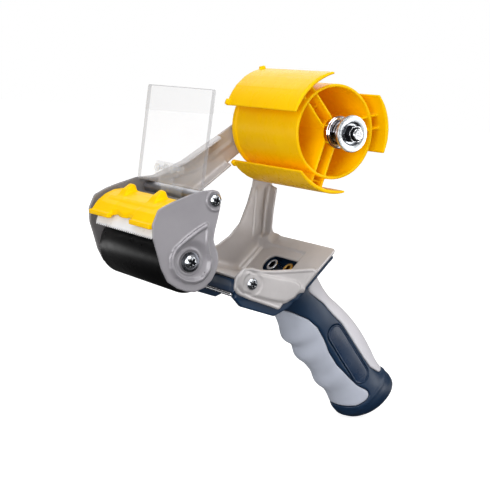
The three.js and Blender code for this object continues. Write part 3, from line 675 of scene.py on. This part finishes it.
def plate_field(X, Y, Z):
    """A flat plate with a raised drop that is dished round the roller's screw, and a collar at the rod's."""
    D = plate_plan(X, Z)
    T = drop_plan(X, Z)
    R = disc(X, Z, ROLLER, 0)
    out = 1.3 * step(-T, 1.0) + 1.1 * ridge(T + 1.5, 1.9)
    out = out - 1.9 * step(11.2 - R, 3.0) * step(-T - 1, 1.4) + 0.7 * ridge(R - 7.6, 1.4)
    out = out + 0.8 * ridge(disc(X, Z, ROD, 5.9), 1.2)
    body = both(D, span(Y - out * step(-D - 0.6, 1), LEFT_IN, LEFT_OUT - 0.05), 0.9)
    body = np.maximum(body, LEFT_IN - Y)
    for r, at in ((2.4, ROLLER), (2.0, ROD)):
        body = cut(body, disc(X, Z, at, r), 0.3)
    return cut(body, both(disc(X, Z, PIN, 1.9), Y - LEFT_IN - 1), 0.2)


sculpt("head_plate_pressed", plate_field, ["head_plate"], "frame", "plate_paint", 0.6, grow=1.4)


# ---------- hub ----------
HUB_R, HUB_WALL, WING_R, WING_T = 30.5, 1.9, 39.4, 2.4
HUB_FAR, WING_NEAR = (extent("hub_drum")[i][1] for i in (0, 1))
HUB_NEAR = WING_NEAR - 6.1
WINGS = [(46.4, 0), (166.4, 1.5), (286.4, 2.2)]  # each spoke's angle, and how far its wing is turned past it
WING_HALF, LIP_AT = math.radians(29.8), math.radians(26.8)
RIB_AT, TIE_AT, FIN_AT = 4.2, 33.2, 18


def wing_field(X, Y, Z, R, mid, shift):
    """One wing on its pair of ribs, with a tie and a fin between them. The wing's stop lip comes apart."""
    c, s = math.cos(math.radians(mid)), math.sin(math.radians(mid))
    u, w = X * c + Z * s, -X * s + Z * c
    turn = np.abs(np.arctan2(w, u) - math.radians(shift))
    angle = turn - WING_HALF
    slim = WING_T / 2 - 0.45 * step(angle * R + 6, 6)
    wing = both(np.abs(R - (WING_R - WING_T / 2)) - slim, angle * R, 0.8)
    wing = both(wing, span(Y, HUB_FAR, WING_NEAR), 0.9)
    rib = both(np.abs(np.abs(w) - RIB_AT) - 0.72, span(u, 5, WING_R - 1))
    rib = both(rib, span(Y, HUB_FAR, HUB_NEAR - 1.5), 0.5)
    tie, fin = (both(both(np.abs(w) - RIB_AT, np.abs(u - at) - 0.6), span(Y, HUB_FAR, HUB_NEAR - short), 0.3)
                for at, short in ((TIE_AT, 4), (FIN_AT, 9)))
    lip = both(span(R, WING_R - 1.5, WING_R + 1.3), span(Y, HUB_FAR, HUB_FAR + 2.6), 0.5)
    lip = both(lip, np.abs(turn - LIP_AT) * R - 2, 0.5)
    return join(wing, join(rib, join(tie, fin)), 1.4), lip


def hub_field(X, Y, Z):
    R = np.hypot(X, Z)
    drum = both(np.abs(R - (HUB_R - HUB_WALL / 2)) - HUB_WALL / 2, span(Y, HUB_FAR, HUB_NEAR), 0.5)
    foot = both(span(R, HUB_R - 1, HUB_R + 1), span(Y, HUB_FAR, HUB_FAR + 4), 0.6)
    web = both(R - HUB_R + 0.5, span(Y, HUB_FAR, HUB_FAR + 1.6))
    tube = both(R - 7.2, span(Y, HUB_FAR, HUB_NEAR), 0.5)
    body = join(join(drum, foot, 0.6), join(web, tube, 2.0), 1.2)
    for mid, shift in WINGS:
        wing, lip = wing_field(X, Y, Z, R, mid, shift)
        body = join(join(body, wing, 0.9), lip, 0.6)
    return cut(body, R - 4.3, 0.3)


sculpt("hub_moulding", hub_field, ["hub_drum"], "hub", "hub_yellow", 0.72)

# ---------- blade cover ----------
COVER_TOP = [(106.5, -47.7), (112, -46.5), (118, -47.5), (124, -50.5), (129, -54.8), (132, -59.2),
             (132.1, -61.6)]
COVER_UNDER = [(130.1, -61.4), (129.5, -59.4), (127.2, -56.2), (122.8, -52.5), (117.4, -49.6), (112, -48.6),
               (106.5, -49.6)]
LIP = [(130.6, -60.2), (134.4, -60.2), (134.4, -63.2), (131, -63.2)]
EAR = [(112.8, -48.4), (114.2, -42.6), (116.4, -42), (120.6, -45.8), (124.4, -52.4), (119, -50.2)]
COVER_HALF = extent("blade_cover")[1][1] - 0.1
cover_plan, lip_plan, ear_plan = (Plan(pts, r, 0.15, 12)
                                  for pts, r in ((COVER_TOP + COVER_UNDER, 1.5), (LIP, 0.7), (EAR, 1.4)))


def cover_field(X, Y, Z):
    """A curved sheet with two lips in front, two ears, a raised field on top and its pin's tubes."""
    A = np.abs(Y)
    wave = 0.35 * np.cos(Y * 0.42) * step(X - 121, 4) * step(17 - A, 3)
    sheet = both(cover_plan(X, Z) + 0.25 * step(13 - A, 2) * step(X - 126, 2), A - COVER_HALF, 0.6)
    sheet = cut(sheet, both(130.9 - X + wave, A - 13.6), 0.6)
    lips = both(lip_plan(X, Z), both(A - COVER_HALF, 14 - A), 0.6)
    ears = both(ear_plan(X, Z), np.abs(A - 18.9) - (1.9 + 0.32 * np.clip(-42 - Z, 0, 8)), 1.2)
    raised = both(A - 31, span(X, 110, 126), 3)
    body = join(join(sheet, lips, 1.4), ears, 1.2)
    body = body - 0.28 * step(-raised, 0.7) * step(Z + 57, 2) * step((Z + 50.5) + (X - 112) * 0.35, 1.5)
    tubes = np.minimum(np.abs(A - 32) - 5, np.abs(A - 13) - 3)
    body = join(body, both(disc(X, Z, PIN, 3.35), tubes, 0.4), 0.8)
    body = cut(body, both(disc(X, Z, PIN, 3.3), A - 9))
    return cut(body, disc(X, Z, PIN, 1.9), 0.2)


sculpt("cover_moulding", cover_field, ["blade_cover"], "cover", "cover_yellow", 0.5, grow=0.6)

# ---------- handle ----------
# Down the handle below the pan's face: each row's distance, front, back and half width.
ROWS = np.array([
    [3.2, -24, 22, 15.3], [22, -17, 21, 14.6], [32, -19.4, 19.5, 14.6], [40.5, -23.2, 19.3, 15],
    [50, -21.3, 20.6, 15], [58, -24.2, 21.6, 15.2], [67.5, -22.6, 22.2, 15.2], [77.5, -22.8, 22, 15.2],
    [85, -25, 21.3, 15.4], [96, -23.5, 19.4, 15.4], [104, -24.8, 17.7, 15.6], [112, -27.2, 17.2, 16],
    [119, -25.9, 18.3, 16], [125, -21.5, 18.7, 15.2], [129.6, -14.5, 17.2, 13.4], [132.2, -8, 13.8, 10.5],
    [133.6, -1, 10, 6.5]])


def smooth_rows(col):
    """Catmull-Rom through the rows, read by distance down the handle."""
    d, v = ROWS[:, 0], ROWS[:, col]
    slope = np.gradient(v, d)
    fine = np.linspace(d[0], d[-1], 400)
    i = np.clip(np.searchsorted(d, fine) - 1, 0, len(d) - 2)
    w = d[i + 1] - d[i]
    t = (fine - d[i]) / w
    h = ((2 * t**3 - 3 * t**2 + 1) * v[i] + (t**3 - 2 * t**2 + t) * w * slope[i]
         + (3 * t**2 - 2 * t**3) * v[i + 1] + (t**3 - t**2) * w * slope[i + 1])
    return lambda q: np.interp(q, fine, h)


row_front, row_back, row_half = (smooth_rows(c) for c in (1, 2, 3))


SQUARENESS = 2 / 0.84


def skin_field(X, Y, Z):
    """The handle's outer skin, a squarish oval all the way down."""
    s, d = to_pan(X, Z)
    f, b, w = row_front(d), row_back(d), row_half(d)
    reach = (b - f) / 2
    u = np.abs((s - (f + b) / 2) / reach)
    v = np.abs(Y / w)
    k = (u ** SQUARENESS + v ** SQUARENESS) ** (1 / SQUARENESS)
    return both((k - 1) * np.minimum(reach, w), d - ROWS[-1, 0] + 0.05, 4)


GRIP = [(20, -123), (13.1, -119.4), (4.7, -121.4), (-7.1, -126), (-15.1, -131.8), (-21.3, -139.8),
        (-26.5, -148.6), (-35.2, -158.6), (-44.8, -166.8), (-54.5, -174.2), (-62.8, -178), (-64.9, -181.4),
        (-62.6, -185.1), (-56.3, -189.1), (-45.4, -190.5), (-34.2, -189), (-20, -200), (60, -160),
        (60, -128)]
BACK = [(-4.3, -102.8), (-4.5, -107), (-10.3, -110.6), (-19.3, -115.9), (-27.7, -123.6), (-36.2, -130),
        (-46.6, -142.2), (-57.5, -154.8), (-65.1, -162.3), (-74.8, -166.9), (-79.7, -164.9), (-100, -150),
        (-40, -90), (-19, -88)]
BADGE = ((-30.5, -136.8), (-55.3, -166), 6.5)
grip_plan = Plan(GRIP, 5, 0.3, 40)
back_plan = Plan(BACK, 4, 0.3, 40)


PAD_T, POCKET_T = 2.4, 2.7


def pad_field(zone):
    """A soft pad let into the handle: crowned at its rim, with a fine bead inside it."""
    def field(X, Y, Z):
        rim = zone(X, Z)
        skin = skin_field(X, Y, Z)
        pad = both(skin - 0.15 * step(-rim - 1.2, 1.2), rim + 0.12, 1.5)
        return both(cut(pad, skin + PAD_T), 6.8 - to_pan(X, Z)[1], 0.8)
    return field


sculpt("finger_pad", pad_field(grip_plan), ["finger_grip"], "frame", "grip_grey", 0.75)
sculpt("palm_pad", pad_field(back_plan), ["back_grip"], "frame", "back_pale", 0.75)
# The head block and its cheeks, in the trough between the side plate and the left wall.
block_plan = Plan([(66.9, -95), pan(-6.3, 1.9), pan(27.3, 1.9), pan(27.3, 4.6), pan(-11, 4.6), (30, -108.2),
                   (64, -106.6), (67.6, -105.6), (67.8, -103.2), (67.2, -100)], 0.8)
cheek_plan = Plan([(66.9, -96), pan(-6.3, 1.9), pan(10, 1.9), pan(10, 4), pan(-19, 2.9), (35, -119),
                   (60.4, -112.3), (67.6, -105.3), (67.2, -100)], 2)
BLOCK_RIGHT, BLOCK_LEFT, CHEEK_T = RIGHT_IN + 0.3, WALL_IN - 0.3, 4.0
STRIP = (67.3, -104.6)
BOLT_AT, INSERT_AT = (8.7, -15.6), (9.2, 1.6)  # up the pan's slope, and along y
SEAM = 0.03
SHELL_SCREWS = [((extent(n)[0][0] + extent(n)[1][0]) / 2, (extent(n)[0][2] + extent(n)[1][2]) / 2)
                for n in ("shell_screw_1", "shell_screw_2")]


def grip_skin(X, Y, Z, d):
    """The shells' skin, cut back under the pads and the badges, with a rolled rim round the butt."""
    skin = skin_field(X, Y, Z)
    zones = np.minimum(grip_plan(X, Z), back_plan(X, Z))
    body = cut(both(skin, 3.3 - d, 0.5), both(zones - 0.25, -(skin + POCKET_T)), 0.6)
    body = body - 0.25 * ridge(d - 117, 2.2) * step(zones - 1.5, 1.0)
    return cut(body, both(stadium(X, Z, *BADGE) - 0.35, -(skin + 1.1)), 0.3)


def head_block(X, Y, Z):
    width = span(Y, BLOCK_RIGHT, BLOCK_LEFT)
    block = both(block_plan(X, Z), width, 0.5)
    cheeks = both(cheek_plan(X, Z), width, 0.5)
    middles = BLOCK_LEFT - CHEEK_T / 2, BLOCK_RIGHT + CHEEK_T / 2
    sides = np.minimum(*(np.abs(Y - y) - CHEEK_T / 2 for y in middles))
    return join(block, both(cheeks, sides, 0.3), 1.0)


def shell_field(side):
    """One navy shell; side is +1 for the gun's left."""
    def field(X, Y, Z):
        s, d = to_pan(X, Z)
        body = join(grip_skin(X, Y, Z, d), head_block(X, Y, Z), 2.5)
        # A boss round the pocket under the pan's window, and the pocket.
        body = join(body, both(both(span(s, -1.2, 18.6), span(d, 1.9, 11)), span(Y, -26, -9), 0.6), 0.8)
        body = cut(body, both(both(span(s, 0.4, 17), span(d, 1, 9.5)), span(Y, -24.4, 9.4)), 0.5)
        for r, at, deep in ((2.7, BOLT_AT, 12), (4.6, INSERT_AT, 18)):
            body = cut(body, both(disc(s, Y, at, r), span(d, 8, deep)))
        body = cut(body, both(disc(X, Z, SADDLE, 2.2), 16 - np.abs(Y)), 0.2)
        body = cut(body, disc(X, Z, STRIP, 1.65), 0.2)
        for at in SHELL_SCREWS:
            body = cut(body, both(disc(X, Z, at, 1.5), Y - 10))
            body = cut(body, both(disc(X, Z, at, 3.1), Y + 11.4), 0.3)
        return both(body, SEAM - side * Y, 0.4)
    return field


sculpt("shell_left", shell_field(1), ["handle_left"], "frame", "shell_navy", 0.75)
sculpt("shell_right", shell_field(-1), ["handle_right"], "frame", "shell_navy", 0.75)


def badge_field(side):
    """A blank raised badge with a fine border."""
    def field(X, Y, Z):
        Q = stadium(X, Z, *BADGE)
        skin = skin_field(X, Y, Z)
        top = skin - 0.45 + 0.45 * ridge(Q + 1.1, 0.5) + 0.3 * step(-Q - 1.4, 0.4)
        return both(both(both(top, -(skin + 0.9)), Q + 0.05, 0.5), 5 - side * Y)
    return field


sculpt("badge_plate_left", badge_field(1), ["badge_left"], "frame", "badge_navy", 0.4)
sculpt("badge_plate_right", badge_field(-1), ["badge_right"], "frame", "badge_navy", 0.4)


# ---------- screws ----------
def screw_head(name, node, y, way, at, r, t, turn):
    """A pan-head cross screw, r in radius and t thick. It bears on the face at y, and way is outwards."""
    ct, st = math.cos(turn), math.sin(turn)
    shank = min(r * 0.42, 2.0)
    tip = abs(extent(node)[0 if way > 0 else 1][1] - y)
    ball = 1.02 * (r * r + t * t) / (2 * t)

    def recess(x, q, z):
        a, b = np.abs(x * ct + z * st), np.abs(-x * st + z * ct)
        wide = r * (0.12 + 0.06 * np.clip(q / t, 0, 1))
        arm = r * (0.4 + 0.2 * np.clip(q / t, 0, 1))
        cross = np.minimum(both(a - wide, b - arm, 0.15), both(b - wide, a - arm, 0.15))
        return both(join(cross, np.hypot(x, z) - r * 0.2, 0.5), t * 0.05 - q)

    def field(X, Y, Z):
        x, z, q = X - at[0], Z - at[1], way * (Y - y)
        R = np.hypot(x, z)
        dome = np.hypot(R, q + ball - t) - ball
        head = cut(both(both(R - r, dome, 0.7), -q, 0.25), recess(x, q, z), 0.15)
        thread = 0.16 * np.cos(2 * math.pi * q / 0.8 + np.arctan2(z, x))
        return join(head, both(R - shank + thread, span(q, -tip + 0.1, 0.3), 0.3))

    ob = sculpt(name, field, [node], "frame", "screw_zinc", 0.27, grow=0.1)
    # Painted shade: the driver recess is coloured darker than the plated head.
    darken(ob, lambda x, v, z, normal: recess(x - at[0], way * (v - y), z - at[1]) < 0.06)


for name, node, y, way, at, r, t, turn in (
        ("roller_screw_left", "axle_screw_left", LEFT_OUT + 1.2, 1, ROLLER, 4.75, 2.55, 0.5),
        ("roller_screw_right", "axle_screw_right", RIGHT_OUT - 0.3, -1, ROLLER, 4.75, 2.55, 0.9),
        ("rod_screw_near", "rod_screw_left", LEFT_OUT + 0.3, 1, ROD, 4.25, 2.35, 0.2),
        ("rod_screw_far", "rod_screw_right", RIGHT_OUT - 0.3, -1, ROD, 4.25, 2.35, 0.6),
        ("wall_screw_near", "saddle_screw_left", WALL_OUT + 0.3, 1, SADDLE, 4.2, 2.35, 0.15),
        ("wall_screw_far", "saddle_screw_right", RIGHT_OUT - 0.3, -1, SADDLE, 4.2, 2.35, 0.75)):
    screw_head(name, node, y, way, at, r, t, turn)
for i, at in enumerate(SHELL_SCREWS):
    screw_head(f"grip_screw_{i + 1}", f"shell_screw_{i + 1}", -11.7, -1, at, 2.65, 1.65, 0.4 + i)

# ---------- hub hardware ----------
AXIS = (0, 0)
BORE = 4.4
lathe("drag_cup", [(BORE, 34), (9.5, 34), (10.2, 34.4), (10.4, 35.1), (10.4, 37.9), (10.1, 38.2),
                   (9.7, 38.1), (9.5, 37.8), (9.4, 35.6), (9, 35), (BORE, 35)],
      AXIS, "friction_cup", "frame", "cup_chrome")
lathe("drag_washer", [(BORE, 36.3), (8.5, 36.3), (8.7, 36.6), (8.7, 38.1), (8.5, 38.35), (BORE, 38.35)],
      AXIS, "pressure_washer", "frame", "spacer_zinc")
lathe("drag_seat", [(BORE, 38.75), (9.8, 38.75), (10.1, 39.05), (10.1, 39.65), (9.8, 39.95), (BORE, 39.95)],
      AXIS, "spring_seat", "frame", "cup_chrome")
helix("drag_spring", "tension_spring", "frame", "spring_steel", 7.1, 0.85, 40.3, 47.7, 2.5)
lathe("drag_disc", [(BORE, 48.1), (9, 48.1), (11.2, 48.9), (11.6, 49.4), (11.7, 49.9), (11.65, 50.9),
                    (11.4, 51.25), (11, 51.35), (8, 51.35), (7.5, 51.15), (6.9, 49.9), (6.4, 49.45),
                    (BORE, 49.4)],
      AXIS, "tension_washer", "frame", "washer_zinc", 96)
lathe("far_spacer", [(BORE, RIGHT_IN + 0.25), (8.7, RIGHT_IN + 0.25), (8.95, RIGHT_IN + 0.5),
                     (8.95, HUB_FAR - 0.45), (8.7, HUB_FAR - 0.25), (BORE, HUB_FAR - 0.25)],
      AXIS, "hub_spacer", "frame", "spacer_zinc")


def nut_field(X, Y, Z):
    R = np.hypot(X, Z)
    body = both(hexagon(X, Z) - 5.1, span(Y, 49.65, 54.95), 0.3)
    body = both(body, R - 5.85 + 0.6 * np.maximum(Y - 54.1, 0), 0.2)
    return cut(body, R - 4.25, 0.4)


# Painted shade: the nut's side faces take the dark material.
darken(sculpt("drag_nut", nut_field, ["tension_nut"], "nut", "nut_zinc", 0.35, grow=0.1), side_wall)


def bolt_field(X, Y, Z):
    R = np.hypot(X, Z)
    thread = 0.22 * np.abs(((Y / 1.25 + np.arctan2(Z, X) / (2 * math.pi)) % 1) * 2 - 1) * step(Y - 44, 1)
    shaft = both(R - 3.93 + thread, span(Y, -43, 57.3), 0.7)
    head = both(hexagon(X, Z) - 5.7, span(Y, -48.3, -42.8), 0.4)
    head = both(head, R - 6.5 + 0.5 * np.minimum(0, -47.2 - Y), 0.3)
    return join(shaft, head, 0.4)


# Painted shade: the bolt end's side faces, past the nut, take the dark material.
darken(sculpt("hub_bolt_turned", bolt_field, ["hub_bolt"], "frame", "bolt_zinc", 0.4, grow=0.1),
       lambda x, y, z, normal: y > 40 and side_wall(x, y, z, normal))

# ---------- clear guard ----------
PANEL_FOOT, PANEL_HEAD, PANEL_T, PANEL_HALF = (101.2, -39.8), (97.97, 20.5), 2.4, 39.0


def guard_panel():
    """A clear sheet with round corners and eased edges, its cut edge darker than its faces."""
    foot, head = (np.array((p[0], 0, p[1])) for p in (PANEL_FOOT, PANEL_HEAD))
    along = (head - foot) / np.linalg.norm(head - foot)
    back = np.cross(along, (0, 1, 0))
    back *= -np.sign(back[0])
    tall = np.linalg.norm(head - foot)

    def ring(inset, depth):
        wide, low, high = PANEL_HALF - inset, inset, tall - inset
        pts = rounded([(-wide, low), (wide, low), (wide, high), (-wide, high)], 1.6 - inset, 5)
        return [foot + along * v + np.array((0, y, 0)) + back * depth for y, v in pts]

    rings = [ring(0.35, 0), ring(0.1, 0.1), ring(0, 0.35), ring(0, PANEL_T - 0.35), ring(0.1, PANEL_T - 0.1),
             ring(0.35, PANEL_T)]
    n = len(rings[0])
    v = [tuple(p) for r in rings for p in r]
    f = [(k * n + i, k * n + (i + 1) % n, (k + 1) * n + (i + 1) % n, (k + 1) * n + i)
         for k in range(len(rings) - 1) for i in range(n)]
    f += [tuple(range(n)), tuple((len(rings) - 1) * n + i for i in range(n))]
    ob = finish_faces("guard_sheet", v, f, "guard_panel", "guard", "guard_clear", 30)
    ob.data.materials.append(MAT["guard_edge"])
    for p in ob.data.polygons:
        p.material_index = 0 if len(p.vertices) > 4 else 1


guard_panel()


STEM_HALF, LEAF_HALF, RIVET_Y = 7.9, 13.1, 9.5


def block_field(X, Y, Z):
    """The guard's hinge: a leaf and a stem behind the sheet, and a tube round the cross rod."""
    lean = (PANEL_FOOT[0] - PANEL_HEAD[0]) / (PANEL_HEAD[1] - PANEL_FOOT[1])
    front = X - (PANEL_FOOT[0] - lean * (Z - PANEL_FOOT[1]))
    narrow = np.abs(Y) - STEM_HALF
    leaf = both(both(span(front, 0.3, 2.3), span(Z, -34.2, -26.2)), np.abs(Y) - LEAF_HALF, 0.5)
    stem = both(both(span(front, 0.3, 2.3), span(Z, -42, -30)), narrow, 0.5)
    tube = both(disc(X, Z, ROD, 5.5), narrow, 0.5)
    arm = both(both(stadium(X, Z, (92, -47), (101.2, -42.4), 2.1), X - 103.3), narrow, 0.5)
    body = join(leaf, join(stem, join(tube, arm, 1.5), 1.0), 1.0)
    body = cut(body, both(-(front - 0.25), Z + 41))
    for y in (-RIVET_Y, RIVET_Y):
        body = cut(body, disc(Y, Z, (y, -30.2), 1.6))
    return cut(body, disc(X, Z, ROD, 3.9), 0.2)


sculpt("guard_hinge_block", block_field, ["guard_block"], "guard", "block_clear", 0.4, grow=0.2)

# ---------- roller ----------
half = extent("roller_sleeve")[1][1]
end = [(16.35, half - 0.1), (18.5, half - 0.1), (19.2, half - 0.4), (19.45, half - 1.1)]
lathe("roller_rubber", [(r, -y) for r, y in end] + end[::-1], ROLLER, "roller_sleeve", "roller",
      "roller_black", 112)
lathe("roller_washer", [(2.7, 41.25), (5.9, 41.25), (6.15, 41.5), (6.1, 41.8), (5.8, 41.95), (2.7, 41.95)],
      ROLLER, "axle_washer_left", "frame", "axle_washer_zinc")

# ---------- handle bolt, insert, cross rod and nose strip ----------
SOCKET, SOCKET_DEEP = 2.6, 6.0


def about(at, X, Y, Z):
    """Place across and depth in the pan's own frame, about a point of its face."""
    s, d = to_pan(X, Z)
    return s - at[0], Y - at[1], d


def socket_field(X, Y, Z):
    """A socket-head bolt with a knurled rim."""
    a, b, d = about(BOLT_AT, X, Y, Z)
    R = np.hypot(a, b)
    knurl = 0.07 * np.cos(28 * np.arctan2(b, a)) * step(d - 3.4, 0.4)
    head = both(R - 4.5 + knurl, span(d, 2.25, 9.15), 0.5)
    body = join(head, both(R - 2.3, span(d, 8.6, 10.75), 0.3), 0.3)
    return cut(body, both(hexagon(a, b) - SOCKET, d - SOCKET_DEEP), 0.3)


def in_socket(x, y, z, normal):
    a, b, d = about(BOLT_AT, x, y, z)
    return d < SOCKET_DEEP + 0.2 and hexagon(a, b) < SOCKET + 0.08


# Painted shade: the socket's hexagon recess takes the dark material.
darken(sculpt("handle_bolt_socket", socket_field, ["handle_bolt"], "frame", "screw_zinc", 0.3, grow=0.1),
       in_socket)


def insert_field(X, Y, Z):
    """A knurled brass insert, open through its middle."""
    a, b, d = about(INSERT_AT, X, Y, Z)
    R = np.hypot(a, b)
    knurl = 0.16 * np.cos(18 * np.arctan2(b, a)) * step(d - 3.6, 0.5)
    body = both(R - 4.1 - knurl, span(d, 2.45, 17.4), 0.5)
    return cut(body, R - 2.1, 0.5)


sculpt("brass_insert_knurled", insert_field, ["brass_insert"], "frame", "insert_brass", 0.3, grow=0.1)
lo, hi = (extent("cross_rod")[i][1] for i in (0, 1))
lathe("cross_rod_turned", [(2, lo + 0.05), (3.3, lo + 0.05), (3.55, lo + 0.35), (3.55, hi - 0.35),
                           (3.3, hi - 0.05), (2, hi - 0.05)],
      ROD, "cross_rod", "frame", "rod_steel", 48)


def strip_field(X, Y, Z):
    lo, hi = (extent("nose_strip")[i][1] for i in (0, 1))
    return both(disc(X, Z, STRIP, 1.22), span(Y, lo + 0.05, hi - 0.05), 0.8)


sculpt("nose_strip_rod", strip_field, ["nose_strip"], "frame", "strip_chrome", 0.3, grow=0.1)

# ---------- stage ----------
FLOOR_HALF = 9
low = min(v[2] for v in cad_box) - 0.0005
ground = Mat("ground", (0.5, 0.5, 0.5), 0.8, Emission_Color=(1, 1, 1, 1), Emission_Strength=0.86)
ground.vary(ground.noise(3, 2), (0.5, 0.5, 0.5), (0.48, 0.48, 0.485))
me = bpy.data.meshes.new("floor")
corners = [(x * FLOOR_HALF, y * FLOOR_HALF, low) for x, y in ((-1, -1), (1, -1), (1, 1), (-1, 1))]
me.from_pydata(corners, [], [(0, 1, 2, 3)])
me.materials.append(ground.m)
floor = bpy.data.objects.new("floor", me)
# The floor stays out of the object's own light, as a glass table over a dark room would.
floor.visible_diffuse = False
floor.visible_glossy = False
bpy.context.scene.collection.objects.link(floor)

world = bpy.data.worlds.new("studio")
bpy.context.scene.world = world
world.use_nodes = True
tree = world.node_tree
split = tree.nodes.new("ShaderNodeSeparateXYZ")
height = tree.nodes.new("ShaderNodeMapRange")
height.inputs["From Min"].default_value = -1
tree.links.new(tree.nodes.new("ShaderNodeTexCoord").outputs["Generated"], split.inputs[0])
tree.links.new(split.outputs["Z"], height.inputs["Value"])


def sky(stops):
    """A backdrop shaded by height, from straight down to straight up."""
    ramp = tree.nodes.new("ShaderNodeValToRGB")
    tree.links.new(height.outputs["Result"], ramp.inputs["Fac"])
    while len(ramp.color_ramp.elements) < len(stops):
        ramp.color_ramp.elements.new(0.5)
    for el, (at, v) in zip(ramp.color_ramp.elements, stops):
        el.position, el.color = at, (v, v, v, 1)
    back = tree.nodes.new("ShaderNodeBackground")
    tree.links.new(ramp.outputs["Color"], back.inputs["Color"])
    return back


# Even light for the paint, dark and bright bands for the metal, and white behind everything.
soft = sky([(0.0, 0.46), (0.36, 0.42), (0.47, 0.14), (0.53, 0.16), (0.64, 0.38), (1.0, 0.46)])
bands = sky([(0.0, 0.06), (0.22, 0.02), (0.38, 0.1), (0.42, 1.3), (0.46, 1.3), (0.5, 0.1), (0.66, 0.03),
             (0.76, 0.6), (0.86, 0.5), (1.0, 0.08)])
white = sky([(0.0, 1.0), (1.0, 1.0)])
seen = tree.nodes.new("ShaderNodeLightPath")
last = soft
for flag, other in (("Is Glossy Ray", bands), ("Is Camera Ray", white)):
    pick = tree.nodes.new("ShaderNodeMixShader")
    tree.links.new(seen.outputs[flag], pick.inputs[0])
    tree.links.new(last.outputs[0], pick.inputs[1])
    tree.links.new(other.outputs[0], pick.inputs[2])
    last = pick
tree.links.new(last.outputs[0], tree.nodes["World Output"].inputs[0])


def lamp(name, at, size, power, aim=(0.03, 0, 0.06)):
    li = bpy.data.lights.new(name, "AREA")
    li.shape = "RECTANGLE"
    li.size, li.size_y = size
    li.energy = power
    ob = bpy.data.objects.new(name, li)
    ob.location = at
    ob.rotation_euler = (Vector(aim) - Vector(at)).to_track_quat("-Z", "Y").to_euler()
    bpy.context.scene.collection.objects.link(ob)


lamp("key", at=(0.35, 0.65, 1.3), size=(0.9, 0.9), power=10.5)
lamp("front", at=(1.4, 0.7, 0.45), size=(0.8, 1.2), power=9)
lamp("low", at=(1.1, 1.0, 0.02), size=(0.9, 0.5), power=9, aim=(-0.02, 0, -0.02))
lamp("rim", at=(-0.9, 0.75, 0.35), size=(0.5, 1.1), power=6)
lamp("back", at=(-0.4, -1.3, 0.9), size=(1.2, 0.9), power=5)

# The camera stands off the hub, at the gun's left and front, a little above.
CAMERA_FROM_HUB = (0.4925, 0.6654, 0.0203)
CAMERA_SIDE, CAMERA_LOOK = (-0.8295, 0.5526, 0.0816), (-0.5586, -0.8206, -0.1211)
cam = bpy.data.cameras.new("camera")
cam.sensor_width = 36
cam.lens = 91.6
cam_ob = bpy.data.objects.new("camera", cam)
side = Vector(CAMERA_SIDE).normalized()
look = Vector(CAMERA_LOOK).normalized()
up = side.cross(look).normalized()
look = up.cross(side)
turn = Matrix((side, up, -look)).transposed().to_4x4()
cam_ob.matrix_world = Matrix.Translation(HUB + Vector(CAMERA_FROM_HUB)) @ turn
bpy.context.scene.collection.objects.link(cam_ob)
bpy.context.scene.camera = cam_ob
bpy.context.scene.view_settings.view_transform = "Standard"
